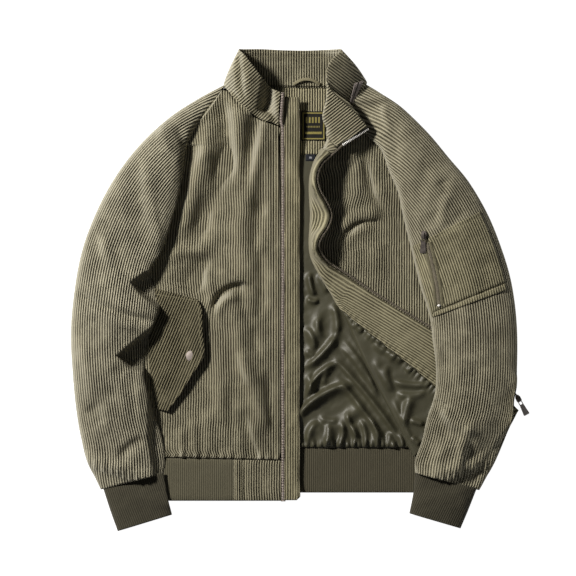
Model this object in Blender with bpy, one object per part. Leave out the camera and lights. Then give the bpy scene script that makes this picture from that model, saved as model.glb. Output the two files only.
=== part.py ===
"""Corduroy bomber jacket, unzipped and laid flat, its left front folded back to show the lining.

Metres, +Z up, +X towards the wearer's left, +Y towards the collar. The jacket lies on z = 0 and its origin
is under the middle of its box. Tables and sizes are in millimetres and are scaled by MM at the end.
Every cloth piece is a grid of u across and v along, put in place by a shape function and given its wall.
"""

import math

import bmesh
import bpy
import numpy as np
from mathutils import Matrix, Vector

MM = 0.001
GAP = 0.3  # between neighbouring pieces
SHELL = 2.0  # corduroy wall
LINING = 1.0  # lining and facing walls
RIB = 3.0  # doubled rib knit
HEM_EDGE = -337.0  # y of the hem's lower edge
BACK_RIB_TOP, BACK_RIB_EDGE = -251.0, -324.0
NECK_BACK = 324.0  # y of the back neck seam
YOKE_EDGE = 218.0  # y where the back neck facing meets the lining
ZIP_X = -29.5  # centre line of the right zip
ZIP_RADIUS = 2.2
LEFT_ROWS = 26  # rows of the left front and its facing, shared so that they nest
CROWD = 1.6  # how much the columns crowd at the fold
FLY_EDGE, FLY_TOP = 0.0, 309.0  # free edge and top of the fly behind the right zip
BACK_TOP = 2.0  # top of the back panel, which lies on the table
LINING_TOP = 3.6
FRONT_TOP = 12.0  # top of a front where it lies on the lining

# ---------------------------------------------------------------- tables, a row for each section or fold

# Right front and back: y, x of the raglan and side edge, from hem to neck
RIGHT_SIDE = (
    (-340, -251), (-268, -251), (-100, -251), (0, -250), (50, -243), (100, -229), (150, -215), (200, -201),
    (225, -187), (241, -184.5), (263, -168), (287, -148), (311, -131), (329, -121),
)
LEFT_SIDE = (
    (-340, 252), (-262, 251), (-100, 251), (0, 250), (40, 246), (80, 236), (120, 217), (160, 192),
    (200, 166), (229, 145), (252, 123), (274, 103), (298, 84), (330, 76),
)
# Right front: v, raglan or side edge x, y, zip or neck edge x, y, from the hem up
RIGHT_FRONT = (
    (0.00, -250, -267, -33, -272), (0.15, -251, -180, -33, -180), (0.30, -250, -90, -32.5, -90),
    (0.45, -249, 0, -32.5, 0), (0.55, -240, 60, -32.5, 60), (0.65, -226, 112, -33, 120),
    (0.75, -209, 172, -34, 180), (0.82, -186, 222, -34.5, 220), (0.87, -183, 241, -34.5, 245),
    (0.91, -172, 256, -36, 262), (0.94, -158, 273, -62, 271), (0.97, -141, 296, -94, 290),
    (1.00, -126, 320, -121, 319),
)
# Sleeves: v, outer edge x, y, inner edge x, y, height of the top, bow of the section towards the neck
RIGHT_SLEEVE = (
    (0.00, -124, 329, -187.5, 242, 21, 0), (0.06, -165, 306, -190, 212, 32, 0),
    (0.13, -208, 278, -190, 180, 41, 0), (0.21, -256, 234, -196, 148, 46, 0),
    (0.30, -300, 176, -208, 104, 48, 0), (0.39, -333, 111, -222, 62, 48, 0),
    (0.48, -354, 46, -240, 26, 47, 0), (0.56, -365, -27, -225, -24, 50, 0),
    (0.64, -367.5, -79, -243, -74, 46, 0), (0.72, -365, -128, -251, -124, 46, 0),
    (0.80, -360, -183, -240, -178, 46, 0), (0.88, -352, -233, -223, -232, 44, 0),
    (0.95, -339, -281, -217, -268, 36, 0), (1.00, -319, -316, -219, -290, 28, 0),
)
LEFT_SLEEVE = (
    (0.00, 107, 329, 110, 271, 22, 17), (0.04, 131, 314, 128, 252, 30, 13),
    (0.08, 159, 295, 145, 231, 38, 9), (0.13, 198, 258, 151, 190, 44, 3), (0.20, 238, 211, 158, 146, 50, 0),
    (0.28, 270, 172, 167, 104, 53, 0), (0.36, 300, 120, 178, 60, 54, 0),
    (0.44, 322, 65, 190, 10, 54, 0), (0.53, 338, 8, 206, -42, 54, 0),
    (0.62, 346, -60, 211, -82, 54, 0), (0.70, 346, -128, 216, -124, 54, 0),
    (0.77, 343, -172, 214, -166, 52, 0), (0.83, 337, -207, 202, -204, 52, 0),
    (0.90, 325, -240, 194, -240, 48, 0), (0.96, 306, -284, 183, -272, 38, 0),
    (1.00, 285, -317, 182, -289, 31, 0),
)
RIGHT_CUFF = (
    (0.0, -316.5, -316, -219.5, -290.8, 27, 0), (0.5, -305, -352, -214, -326, 25, 0),
    (1.0, -293, -385.5, -206, -359, 22, 0),
)
LEFT_CUFF = (
    (0.0, 282, -316.9, 184.5, -290.4, 30, 0), (0.5, 269, -350, 180, -326, 28, 0),
    (1.0, 256, -381, 174, -357, 24, 0),
)
# Left front: v, fold x, y, zip edge x, y, height of the lower layer, of the fold's top and of the zip edge
LEFT_FRONT = (
    (0.00, 43, 244, 58, 227, 16, 36, 38), (0.04, 33, 222, 42, 216, 15, 34, 42),
    (0.08, 23, 204, 28, 202, 13, 32, 47), (0.12, 17, 181, 21, 181, 11, 30, 50),
    (0.16, 16, 160, 26, 160, 10, 29, 46), (0.20, 17, 140, 38, 140, 10, 28, 38),
    (0.24, 18, 121, 45, 121, 9, 27, 31), (0.28, 17, 100, 40, 101, 9, 26, 33),
    (0.32, 16, 85, 29, 85, 8, 25, 39), (0.36, 16, 70, 24, 71, 8, 24, 41),
    (0.40, 18, 56, 29, 58, 8, 22, 35), (0.44, 23, 43, 42, 44, 8, 20, 27),
    (0.50, 35, 21, 50, 37, 7, 18, 24), (0.56, 51, -5, 73, 23, 7, 17, 20),
    (0.64, 70, -38, 100, 4, 7, 16.5, 18), (0.76, 105, -115, 164, -36, 7, 16, 17),
    (0.88, 146, -194, 232, -78, 7, 16, 16), (1.00, 183, -266, 295, -124, 7, 16, 14),
    (1.12, 221, -338, 350, -177, 6.5, 15.5, 4),
)
# Where the facing ends, as a distance from the zip edge: v, width
LEFT_FACING = ((0.00, 34), (0.24, 46), (0.44, 40), (0.56, 46), (0.70, 54), (0.85, 66), (1.00, 76), (1.12, 80))
# Collar: t from the right zip to the left one, then base, middle and top edge, each x, y, z
COLLAR = (
    (0.00, -35, 266, 21, -34, 291, 27, -32, 317, 30), (0.06, -48, 270.5, 18, -46, 295, 17, -43, 322, 30),
    (0.12, -60, 274.5, 17, -57, 302, 19, -53, 330, 36), (0.19, -76, 284, 23, -70, 313, 38, -64, 343, 48),
    (0.26, -92, 297, 25, -86, 327, 46, -78, 361, 55), (0.33, -108, 312, 24, -103, 342, 46, -90, 377, 57),
    (0.39, -121, 331, 15, -112, 354, 34, -97, 384, 49), (0.45, -104, 335, 6, -99, 358, 16, -90, 384, 36),
    (0.51, -70, 330, 5.5, -68, 356, 11, -64, 385, 25), (0.59, -28, 327, 5.5, -28, 355, 9.5, -28, 383.5, 20),
    (0.67, 12, 326, 5.5, 12, 354, 9.5, 12, 383, 20), (0.74, 50, 327, 5.5, 46, 355, 12, 40, 383.5, 28),
    (0.79, 82, 332, 6, 70, 357, 19, 55, 383.5, 42), (0.83, 103, 335, 12, 86, 359, 35, 63, 382.5, 52),
    (0.87, 96, 320, 22, 72, 340, 45, 46, 364, 57), (0.905, 86, 304, 21, 58, 322, 47, 41, 343, 57),
    (0.935, 70, 281, 20, 44, 299, 43, 53, 318, 56), (0.96, 56, 263, 21, 39, 276, 40, 78, 298, 52),
    (0.98, 42.5, 248, 29, 60, 266, 45, 93, 281, 47), (1.00, 58, 230, 41, 83, 246, 44, 108, 262, 43),
)
# Large folds: start x, y, end x, y, half width, rise
FRONT_FOLDS = (
    (-226, 200, -215, 60, 16, 3), (-150, 215, -140, 120, 11, 4), (-60, 235, -95, 120, 13, 4),
    (-120, 26, -92, 10, 10, 5), (-66, 110, -58, 0, 10, 3), (-92, -110, -62, -205, 12, 3.5),
)
LINING_FOLDS = (
    (40, -20, 20, -75, 9, 5), (100, -140, 55, -90, 8, 5), (20, -180, 80, -150, 9, 5),
    (60, -215, 110, -175, 9, 5), (120, -240, 150, -200, 9, 5), (30, -225, 44, -240, 12, 6),
)
POCKET_FLAP = (
    (0.00, -231, -190, -213, -193), (0.18, -238, -160, -191, -163), (0.35, -241, -134, -173, -134),
    (0.48, -242, -106, -156, -108), (0.68, -242, -68, -157, -66), (0.90, -241, -22, -160, -24),
    (1.00, -240, 5, -166, -14),
)
SNAP = (-175, -105)
SNAP_RADIUS, SNAP_RISE = 9.0, 3.0
SLEEVE_POCKET_U, SLEEVE_POCKET_V = (0.09, 0.44), (0.345, 0.535)  # part of the left sleeve's turn and length
# Zip slot of the sleeve pocket: x, y, from slider to stop
POCKET_SLOT = ((201, 76), (206, 60), (213, 30), (218, 5), (221, -22))
POCKET_SLIDER = (197, 88)
POCKET_PULL_WAY = (-0.07, -1.0)
ZIP_END = 1.105  # v of the left zip's lower end, where its slider hangs
MAIN_PULL_WAY = (0.47, -0.88)
SLIDER_REACH, SLIDER_CENTRE = 7.6, 1.65  # a slider's rear end and its middle height, with its clearance


# ---------------------------------------------------------------- reading the tables


def flow(table, key):
    """The smooth curve through a table's rows, read at key, which runs along its first column."""
    table = np.array(table, float)
    knots, values = table[:, 0], table[:, 1:]
    slopes = np.gradient(values, knots, axis=0)
    key = np.clip(key, knots[0], knots[-1])
    row = np.clip(np.searchsorted(knots, key, side="right") - 1, 0, len(knots) - 2)
    step = (knots[row + 1] - knots[row])[:, None]
    f = (key - knots[row])[:, None] / step
    start, end = values[row], values[row + 1]
    into, out = slopes[row] * step, slopes[row + 1] * step
    cubic = 2 * (start - end) + into + out
    square = 3 * (end - start) - 2 * into - out
    return ((cubic * f + square) * f + into) * f + start


def smooth(low, high, value):
    f = np.clip((value - low) / (high - low), 0, 1)
    return f * f * (3 - 2 * f)


def folds(table, x, y):
    """Sum of soft ridges, each a rounded bank along a line."""
    total = np.zeros_like(x)
    for x0, y0, x1, y1, width, rise in table:
        dx, dy = x1 - x0, y1 - y0
        along = np.clip(((x - x0) * dx + (y - y0) * dy) / (dx * dx + dy * dy), 0, 1)
        off = np.hypot(x - x0 - along * dx, y - y0 - along * dy)
        total += rise * np.exp(-((off / width) ** 2))
    return total


def across(table, u, v):
    """Point u of the way between the two edges that a table gives at v."""
    row = flow(table, v)
    return row[:, 0] + (row[:, 2] - row[:, 0]) * u, row[:, 1] + (row[:, 3] - row[:, 1]) * u


def points(*columns):
    return np.column_stack(np.broadcast_arrays(*columns))


def proud(shape, height):
    """The same shape moved out along its normal by height."""
    step = 1e-3

    def moved(u, v):
        along_u = shape(u + step, v) - shape(u - step, v)
        along_v = shape(u, v + step) - shape(u, v - step)
        normal = np.cross(along_u, along_v)
        length = np.linalg.norm(normal, axis=1, keepdims=True)
        return shape(u, v) + normal / np.maximum(length, 1e-9) * height

    return moved


def part_of(shape, u_range, v_range):
    """The stretch of a shape between two u and two v, as a shape of its own."""

    def cut(u, v):
        return shape(u_range[0] + (u_range[1] - u_range[0]) * u, v_range[0] + (v_range[1] - v_range[0]) * v)

    return cut


def by_rows(shape, table):
    """The same shape with its columns spread evenly over the table's rows, so that sharp turns get more."""
    keys = [row[0] for row in table]
    return lambda u, v: shape(np.interp(u, np.linspace(0, 1, len(keys)), keys), v)


# ---------------------------------------------------------------- heights of the lying cloth


def right_front_top(x, y):
    side = flow(RIGHT_SIDE, y)[:, 0]
    shoulder = 9 * smooth(190, 300, y)
    edge = np.where(y < 232, smooth(-2, 38, x - side), 1)
    low = LINING_TOP + SHELL + 0.7
    return low + (FRONT_TOP + shoulder + folds(FRONT_FOLDS, x, y) - low) * edge


def lining_top(x, y):
    fold = 69 - 0.504 * (y + 36)
    shows = smooth(-4, 14, x) * smooth(26, 60, fold - x)
    return LINING_TOP + folds(LINING_FOLDS, x, y) * shows


def right_floor(x, y):
    """What the right sleeve lies on: the table, or the body's edge with the pocket flap."""
    side = flow(RIGHT_SIDE, y)[:, 0]
    over = smooth(-19, -3, x - side) * smooth(239, 224, y) * smooth(-356, -341, y)
    return over * (13.4 + 4.1 * smooth(-215, -195, y))


def left_floor(x, y):
    """What the left sleeve lies on: the table, the left front, or its turned part."""
    side = flow(LEFT_SIDE, y)[:, 0]
    fold = 69 - 0.504 * (y + 36)
    on_front = np.where(y < -36, smooth(-22, -7, x - fold), 1)
    body = (4 + 10 * on_front) * smooth(-19, -3, side - x) * smooth(262, 243, y) * smooth(-356, -341, y)
    zip_line = 20 - 0.625 * (x - 75)
    from_hem = y + 338 - 1.25 * (x - 221)
    turned = (17.8 + 4.3 * smooth(100, 120, from_hem)) * smooth(-24, -8, zip_line - y)
    return np.maximum(body, turned * smooth(-30, -14, from_hem) * on_front)


# ---------------------------------------------------------------- shape functions


def flat_rows(table, top):
    def shape(u, v):
        x, y = across(table, u, v)
        return points(x, y, top(x, y))

    return shape


def tube(table, floor, roundness=0.8):
    """A sleeve lying down: u runs round it, from the outer edge over the top to the inner one and back."""

    def shape(u, v):
        row = flow(table, v)
        turn = 2 * math.pi * u
        side, up = np.cos(turn), np.sin(turn)
        half = (1 - side) / 2
        bow = row[:, 5] * np.sin(math.pi * half)
        dx, dy = row[:, 2] - row[:, 0], row[:, 3] - row[:, 1]
        length = np.hypot(dx, dy)
        bow = bow * np.sign(row[:, 0])
        x = row[:, 0] + dx * half + bow * dy / length
        y = row[:, 1] + dy * half - bow * dx / length
        base = floor(x, y) + smooth(0.07, 0, v)
        middle = base + 0.42 * (row[:, 4] - base)
        lift = np.where(up > 0, (row[:, 4] - middle), middle - base)
        shape_power = np.where(up > 0, roundness, 0.5)
        return points(x, y, middle + np.sign(up) * lift * np.abs(up) ** shape_power)

    return shape


def left_layer(s, v):
    """The left front as one folded cloth: s is the distance from the fold, under zero on the turned part."""
    row = flow(LEFT_FRONT, v)
    fold, edge = row[:, 0:2], row[:, 2:4]
    reach = np.linalg.norm(edge - fold, axis=1)
    turned_way = (edge - fold) / reach[:, None]
    side_y = np.interp(v, (0, 0.04, 0.08, 0.12, 0.2, 0.28, 0.44, 1.0, 1.12),
                       (298, 275, 253, 230, 170, 120, 40, -262, -334))
    side = points(flow(LEFT_SIDE, side_y)[:, 0], side_y)
    width = np.linalg.norm(side - fold, axis=1)
    flat_way = (side - fold) / width[:, None]
    roll = (row[:, 5] - row[:, 4]) / 2
    off = np.sqrt(s * s + roll * roll) - roll
    way = np.where(s[:, None] > 0, flat_way, turned_way)
    plan = fold + way * off[:, None]
    turn = smooth(-1.3, 1.3, s / roll)
    past = np.clip(-s / np.maximum(reach, 1), 0, 1.2)
    top = row[:, 5] + (row[:, 6] - row[:, 5]) * past * past
    low = row[:, 4] + folds(((92, 95, 112, 116, 9, 4), (75, 150, 150, 160, 20, 2)), plan[:, 0], plan[:, 1])
    low = low - (low - LINING_TOP - 0.5) * smooth(width - 20, width, s) * (v > 0.15)
    return points(plan[:, 0], plan[:, 1], top + (low - top) * turn)


def left_reach(v):
    """Distance from the fold to the zip edge and to the side edge."""
    row = flow(LEFT_FRONT, v)
    side_y = np.interp(v, (0, 0.04, 0.08, 0.12, 0.2, 0.28, 0.44, 1.0, 1.12),
                       (298, 275, 253, 230, 170, 120, 40, -262, -334))
    side_x = flow(LEFT_SIDE, side_y)[:, 0]
    roll = (row[:, 5] - row[:, 4]) / 2
    to_zip = np.hypot(row[:, 2] - row[:, 0], row[:, 3] - row[:, 1]) + roll
    return to_zip, np.hypot(side_x - row[:, 0], side_y - row[:, 1]) + roll - 1


def left_band(v_range, start, end):
    """Part of the left front between two distances from the fold, each a function of v."""

    def shape(u, v):
        v = v_range[0] + (v_range[1] - v_range[0]) * v
        low, high = (np.sign(s) * np.abs(s) ** (1 / CROWD) for s in (start(v), end(v)))
        root = low + (high - low) * u
        return left_layer(np.sign(root) * np.abs(root) ** CROWD, v)

    return shape


def collar_shape(u, v):
    """u from the right zip round the neck to the left one, v from the neck seam to the top edge."""
    row = flow(COLLAR, u)
    base, middle, top = row[:, 0:3], row[:, 3:6], row[:, 6:9]
    f = v[:, None]
    return base * (1 - f) * (1 - 2 * f) + middle * 4 * f * (1 - f) + top * f * (2 * f - 1)


# ---------------------------------------------------------------- making meshes


def material(name, red, green, blue, roughness, metallic=0.0):
    made = bpy.data.materials.new(name)
    made.use_nodes = True
    shader = made.node_tree.nodes["Principled BSDF"]
    shader.inputs["Base Color"].default_value = (red, green, blue, 1)
    shader.inputs["Roughness"].default_value = roughness
    shader.inputs["Metallic"].default_value = metallic
    return made


def new_object(name, mesh, finish):
    mesh.materials.append(finish)
    made = bpy.data.objects.new(name, mesh)
    bpy.context.scene.collection.objects.link(made)
    return made


def cloth(name, shape, columns, rows, wall, finish, inward=True, closed=False, flip=False, split="FIXED"):
    """A grid of columns by rows in the given shape, with its wall put on by Solidify."""
    bm = bmesh.new()
    bmesh.ops.create_grid(bm, x_segments=columns, y_segments=rows, size=0.5)
    flat = np.array([vertex.co for vertex in bm.verts])
    placed = shape(flat[:, 0] + 0.5, flat[:, 1] + 0.5) * MM
    for vertex, place in zip(bm.verts, placed):
        vertex.co = place
    if closed:
        bmesh.ops.remove_doubles(bm, verts=bm.verts, dist=0.00005)
    if flip:
        bmesh.ops.reverse_faces(bm, faces=bm.faces)
    bmesh.ops.triangulate(bm, faces=bm.faces, quad_method=split)
    mesh = bpy.data.meshes.new(name)
    bm.to_mesh(mesh)
    bm.free()
    made = new_object(name, mesh, finish)
    mesh.shade_smooth()
    solidify = made.modifiers.new("wall", "SOLIDIFY")
    solidify.thickness = wall * MM
    solidify.offset = -1 if inward else 1
    return made


def cord(name, route, radius, finish):
    """A round bar along a route, closed at both ends."""
    curve = bpy.data.curves.new(name, "CURVE")
    curve.dimensions = "3D"
    spline = curve.splines.new("POLY")
    spline.points.add(len(route) - 1)
    for point, place in zip(spline.points, route):
        point.co = (*(place * MM), 1)
    curve.bevel_depth = radius * MM
    curve.bevel_resolution = 0
    curve.use_fill_caps = True
    curve.materials.append(finish)
    made = bpy.data.objects.new(name, curve)
    bpy.context.scene.collection.objects.link(made)
    return made


def prism(name, outline, low, high, place, finish):
    """An outline raised from low to high in its own frame, then put at place."""
    bm = bmesh.new()
    face = bm.faces.new([bm.verts.new((x, y, low)) for x, y in outline])
    raised = bmesh.ops.extrude_face_region(bm, geom=[face])["geom"]
    bmesh.ops.translate(
        bm, verts=[g for g in raised if isinstance(g, bmesh.types.BMVert)], vec=(0, 0, high - low)
    )
    bmesh.ops.recalc_face_normals(bm, faces=bm.faces)
    bmesh.ops.transform(bm, matrix=place @ Matrix.Identity(4), verts=bm.verts)
    bmesh.ops.scale(bm, vec=(MM, MM, MM), verts=bm.verts)
    mesh = bpy.data.meshes.new(name)
    bm.to_mesh(mesh)
    bm.free()
    return new_object(name, mesh, finish)


def combine(base, other, operation):
    """Joins or cuts base with other, which is then only a helper."""
    other.hide_render = True
    other.display_type = "WIRE"
    boolean = base.modifiers.new(operation.lower(), "BOOLEAN")
    boolean.operation = operation
    boolean.object = other


def frame_at(origin, way, normal):
    """Axes for a slider: x the way its pull lies, z off the cloth, y the hinge."""
    z = Vector(normal).normalized()
    y = z.cross(Vector(way)).normalized()
    x = y.cross(z)
    place = Matrix((x, y, z)).transposed().to_4x4()
    place.translation = Vector(origin)
    return place


# ---------------------------------------------------------------- groups of pieces


def back_pieces(corduroy, satin, rib, woven):
    def back(u, v):
        y = BACK_RIB_TOP + 0.6 + (NECK_BACK - BACK_RIB_TOP - 1.2) * v
        left, right = flow(RIGHT_SIDE, y)[:, 0] + 3, flow(LEFT_SIDE, y)[:, 0] - 3
        return points(left + (right - left) * u, y, BACK_TOP)

    def lining(u, v):
        y = BACK_RIB_TOP + 0.6 + (YOKE_EDGE - BACK_RIB_TOP - 1.2) * v
        left, right = flow(RIGHT_SIDE, y)[:, 0] + 6, flow(LEFT_SIDE, y)[:, 0] - 6
        x = left + (right - left) * u
        return points(x, y, lining_top(x, y))

    def facing(u, v):
        y = YOKE_EDGE + (NECK_BACK - YOKE_EDGE - 0.6) * v
        left, right = flow(RIGHT_SIDE, y)[:, 0] + 22, flow(LEFT_SIDE, y)[:, 0] - 8
        return points(left + (right - left) * u, y, LINING_TOP + 0.4)

    cloth("back_body", back, 4, 11, SHELL, corduroy)
    cloth("back_lining", lining, 12, 11, LINING, satin)
    cloth("back_neck_facing", facing, 4, 4, LINING + 0.4, corduroy)

    def patch(low_x, high_x, low_y, high_y, top):
        return lambda u, v: points(low_x + (high_x - low_x) * u, low_y + (high_y - low_y) * v, top)

    label_top = LINING_TOP + 0.4 + GAP + 1.0
    cloth("neck_label", patch(1, 40, 240, 287, label_top), 1, 1, 1.0, woven)
    cloth("size_label", patch(8, 24, 208, 217.5, LINING_TOP + GAP + 1.0), 1, 1, 1.0, woven)
    cloth("back_hem_rib", patch(-248, 181, BACK_RIB_EDGE, BACK_RIB_TOP, RIB), 10, 2, RIB, rib)


def hanger_loop(corduroy):
    loop = [(-12, 329.5), (-6, 333.5), (2, 337), (9, 338), (17, 337), (26, 333), (31, 329.5)]
    route = []
    for x, y in loop:
        on_collar = collar_point_near(x, y)
        route.append(Vector((x, y, on_collar + 5.6)))
    cord("hanger_loop", route, 2.2, corduroy)


def collar_point_near(x, y):
    """Height of the collar's inner face at the back of the neck."""
    u, v = np.meshgrid(np.linspace(0.45, 0.79, 35), np.linspace(0, 1, 21))
    found = collar_shape(u.ravel(), v.ravel())
    return found[np.hypot(found[:, 0] - x, found[:, 1] - y).argmin(), 2]


def collar_pieces(corduroy, tape):
    shell = by_rows(collar_shape, COLLAR)
    facing = by_rows(part_of(proud(collar_shape, 6 * GAP), (0, 1), (0.02, 0.97)), COLLAR)
    cloth("collar", shell, 38, 3, SHELL, corduroy, split="ALTERNATE")
    cloth("collar_facing", facing, 38, 3, LINING, corduroy, inward=False, split="ALTERNATE")
    outer = proud(collar_shape, -SHELL - 3 * GAP)
    cloth("neck_tape", part_of(outer, (0.845, 0.905), (0.04, 0.3)), 4, 2, LINING, tape)


def right_pieces(corduroy, rib, zip_finish):
    front = flat_rows(RIGHT_FRONT, right_front_top)
    cloth("right_front", front, 12, 19, SHELL, corduroy)

    def hem(low_x, high_x):
        def shape(u, v):
            x = low_x + (high_x - low_x) * u
            seam = -267.6 - (x + 250) * 5 / 217
            y = HEM_EDGE + (seam - HEM_EDGE) * v
            return points(x, y, right_front_top(x, y))

        return shape

    def fly(u, v):
        x, y = ZIP_X + 3 + (FLY_EDGE - ZIP_X - 3) * u, HEM_EDGE + 1 + (FLY_TOP - HEM_EDGE - 1) * v
        return points(x, y, right_front_top(x, y))

    cloth("right_hem_rib", hem(-249, -107.3), 6, 2, RIB, rib)
    cloth("right_hem_block", hem(-106.7, -33), 3, 2, RIB, corduroy)
    cloth("right_fly", fly, 1, 16, SHELL, corduroy)
    zip_y = np.linspace(HEM_EDGE - 1, 262, 14)
    zip_z = right_front_top(np.full_like(zip_y, ZIP_X), zip_y) - 1.4
    collar_end = collar_shape(np.zeros(5), np.linspace(0.1, 1.0, 5))
    body = [Vector((ZIP_X, y, z)) for y, z in zip(zip_y, zip_z)]
    neck = [Vector((x + 4.4, y, z)) for x, y, z in collar_end]
    cord("right_zip", body + neck, ZIP_RADIUS, zip_finish)


def pocket_pieces(corduroy, metal):
    def flap_top(x, y):
        free = smooth(-190, -150, x - 0.25 * (y + 100) * (y < -100))
        return right_front_top(x, y) + SHELL + GAP + 0.8 + 3 * free

    flap = flat_rows(POCKET_FLAP, flap_top)
    cloth("pocket_flap", flap, 6, 7, SHELL, corduroy)
    x, y = np.array([float(SNAP[0])]), np.array([float(SNAP[1])])
    seat = float(flap_top(x, y)[0]) + 1.3
    bm = bmesh.new()
    profile = ((0, SNAP_RISE), (0.55, SNAP_RISE * 0.93), (0.85, SNAP_RISE * 0.7), (1, SNAP_RISE * 0.3), (0.96, 0), (0, 0))
    corners = [bm.verts.new((radius * SNAP_RADIUS, 0, height)) for radius, height in profile]
    edges = [bm.edges.new(pair) for pair in zip(corners, corners[1:])]
    bmesh.ops.spin(
        bm, geom=corners + edges, cent=(0, 0, 0), axis=(0, 0, 1), angle=math.tau, steps=16, use_merge=True
    )
    bmesh.ops.remove_doubles(bm, verts=bm.verts, dist=1e-4)
    bmesh.ops.recalc_face_normals(bm, faces=bm.faces)
    bmesh.ops.scale(bm, vec=(MM, MM, MM), verts=bm.verts)
    bmesh.ops.translate(bm, vec=(SNAP[0] * MM, SNAP[1] * MM, seat * MM), verts=bm.verts)
    mesh = bpy.data.meshes.new("snap_cap")
    bm.to_mesh(mesh)
    bm.free()
    new_object("snap_cap", mesh, metal)


def left_pieces(corduroy, satin, rib, zip_finish):
    last = 0.9992  # the front ends just short of the hem seam

    def edge(v):
        return -left_reach(v)[0]

    def side(v):
        return left_reach(v)[1]

    def facing_end(v):
        return edge(v) + flow(LEFT_FACING, v)[:, 0]

    def lining_start(v):
        return facing_end(v) + 1

    def lining_end(v):
        return np.maximum(9.0, facing_end(v) + 4)

    def block_start(v):
        return edge(v) + 7 * smooth(1.03, 1.10, v)

    def block_end(v):
        return edge(v) + 75

    def rib_start(v):
        return edge(v) + 75.6

    cloth("left_front", left_band((0, last), edge, side), 15, LEFT_ROWS, SHELL, corduroy)
    faced = proud(left_band((0.03, last), edge, facing_end), 7.5 * GAP)
    cloth("left_facing", faced, 8, LEFT_ROWS, LINING, corduroy, inward=False)
    lined_rows = 10
    lined = (last * (1 - lined_rows / LEFT_ROWS), last)
    lining = proud(left_band(lined, lining_start, lining_end), 5 * GAP)
    cloth("left_lining", lining, 9, lined_rows, LINING, satin, inward=False)
    cloth("left_hem_block", left_band((1.0, 1.115), block_start, block_end), 3, 2, RIB, corduroy)
    cloth("left_hem_rib", left_band((1.0, 1.115), rib_start, side), 12, 2, RIB, rib)
    v = np.linspace(last / LEFT_ROWS, ZIP_END, LEFT_ROWS + 2)
    run = left_layer(edge(v) - 3.6, v)
    up = np.linspace(0.95, 0.2, 4)
    end, beyond = collar_shape(np.full(4, 1.0), up), collar_shape(np.full(4, 0.992), up)
    out = (end - beyond) / np.linalg.norm(end - beyond, axis=1, keepdims=True)
    route = np.vstack((end + out * 3.6, run))
    cord("left_zip", [Vector(p) for p in route], ZIP_RADIUS, zip_finish)
    return Vector(run[-1])


def sleeve_pieces(corduroy, rib):
    right, left = tube(RIGHT_SLEEVE, right_floor), tube(LEFT_SLEEVE, left_floor)
    cloth("right_sleeve", right, 14, 17, SHELL, corduroy, closed=True, flip=True)
    cloth("left_sleeve", left, 14, 17, SHELL, corduroy, closed=True)
    cloth("right_cuff", tube(RIGHT_CUFF, right_floor, 0.6), 12, 2, RIB, rib, closed=True, flip=True)
    cloth("left_cuff", tube(LEFT_CUFF, left_floor, 0.6), 12, 2, RIB, rib, closed=True)
    return left


def on_sleeve(sleeve, x, y):
    """The point of the sleeve's top over x, y, and the normal there."""
    u, v = np.meshgrid(np.linspace(0.02, 0.48, 240), np.linspace(0.3, 0.6, 240))
    found = sleeve(u.ravel(), v.ravel())
    near = np.hypot(found[:, 0] - x, found[:, 1] - y).argmin()
    u, v = u.ravel()[near : near + 1], v.ravel()[near : near + 1]
    normal = proud(sleeve, 1.0)(u, v) - sleeve(u, v)
    return found[near], normal[0]


def slider_and_pull(name, place, metal):
    """A zip slider with its bridge, and the pull whose bar turns under it. The bar is at x 1.6, z 4.3."""
    wings = ((-7, -2.6), (-3, -4.2), (3, -4.2), (5, -3), (5, 3), (3, 4.2), (-3, 4.2), (-7, 2.6))
    body = prism(f"{name}_slider", wings, 0.3, 3.0, place, metal)
    turned = place @ Matrix.Rotation(math.pi / 2, 4, "X")
    bridge = ((-4.2, 2.8), (-3.4, 6.2), (-2.6, 6.6), (3.2, 6.6), (4.2, 5.6), (4.2, 2.8), (2.8, 2.8),
              (2.8, 5.5), (-2.4, 5.5), (-2.8, 2.8))
    combine(body, prism(f"{name}_bridge", bridge, -1.2, 1.2, turned, metal), "UNION")
    bar = Matrix.Translation((1.6, 0, 4.3)) @ Matrix.Rotation(math.radians(7), 4, "Y")
    lying = place @ bar
    outline = ((-0.6, -3.2), (8.5, -3.4), (26, -5), (27, -4), (27, 4), (26, 5), (8.5, 3.4), (-0.6, 3.2))
    pull = prism(f"{name}_pull", outline, -0.6, 0.6, lying, metal)
    window = ((0.6, -1.9), (8, -1.9), (8, 1.9), (0.6, 1.9))
    combine(pull, prism(f"{name}_window", window, -2, 2, lying, metal), "DIFFERENCE")
    hinge = place @ Vector((1.6, 0, 4.3))
    axis = place.to_3x3() @ Vector((0, 1, 0))
    print(name, "hinge mm", [round(c, 2) for c in hinge], "axis", [round(c, 4) for c in axis])


def sleeve_pocket(left, corduroy, zip_finish, metal):
    patch = part_of(proud(left, 3 * GAP), SLEEVE_POCKET_U, SLEEVE_POCKET_V)
    cloth("sleeve_pocket", patch, 7, 5, LINING, corduroy, inward=False)
    route = []
    for x, y in POCKET_SLOT:
        point, normal = on_sleeve(left, x, y)
        route.append(Vector(point) + Vector(normal) * (GAP * 4 + LINING + 1.2))
    cord("pocket_zip", route, 1.1, zip_finish)
    point, normal = on_sleeve(left, *POCKET_SLIDER)
    origin = Vector(point) + Vector(normal) * (GAP * 4 + LINING)
    slider_and_pull("pocket", frame_at(origin, (*POCKET_PULL_WAY, 0), normal), metal)


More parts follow.
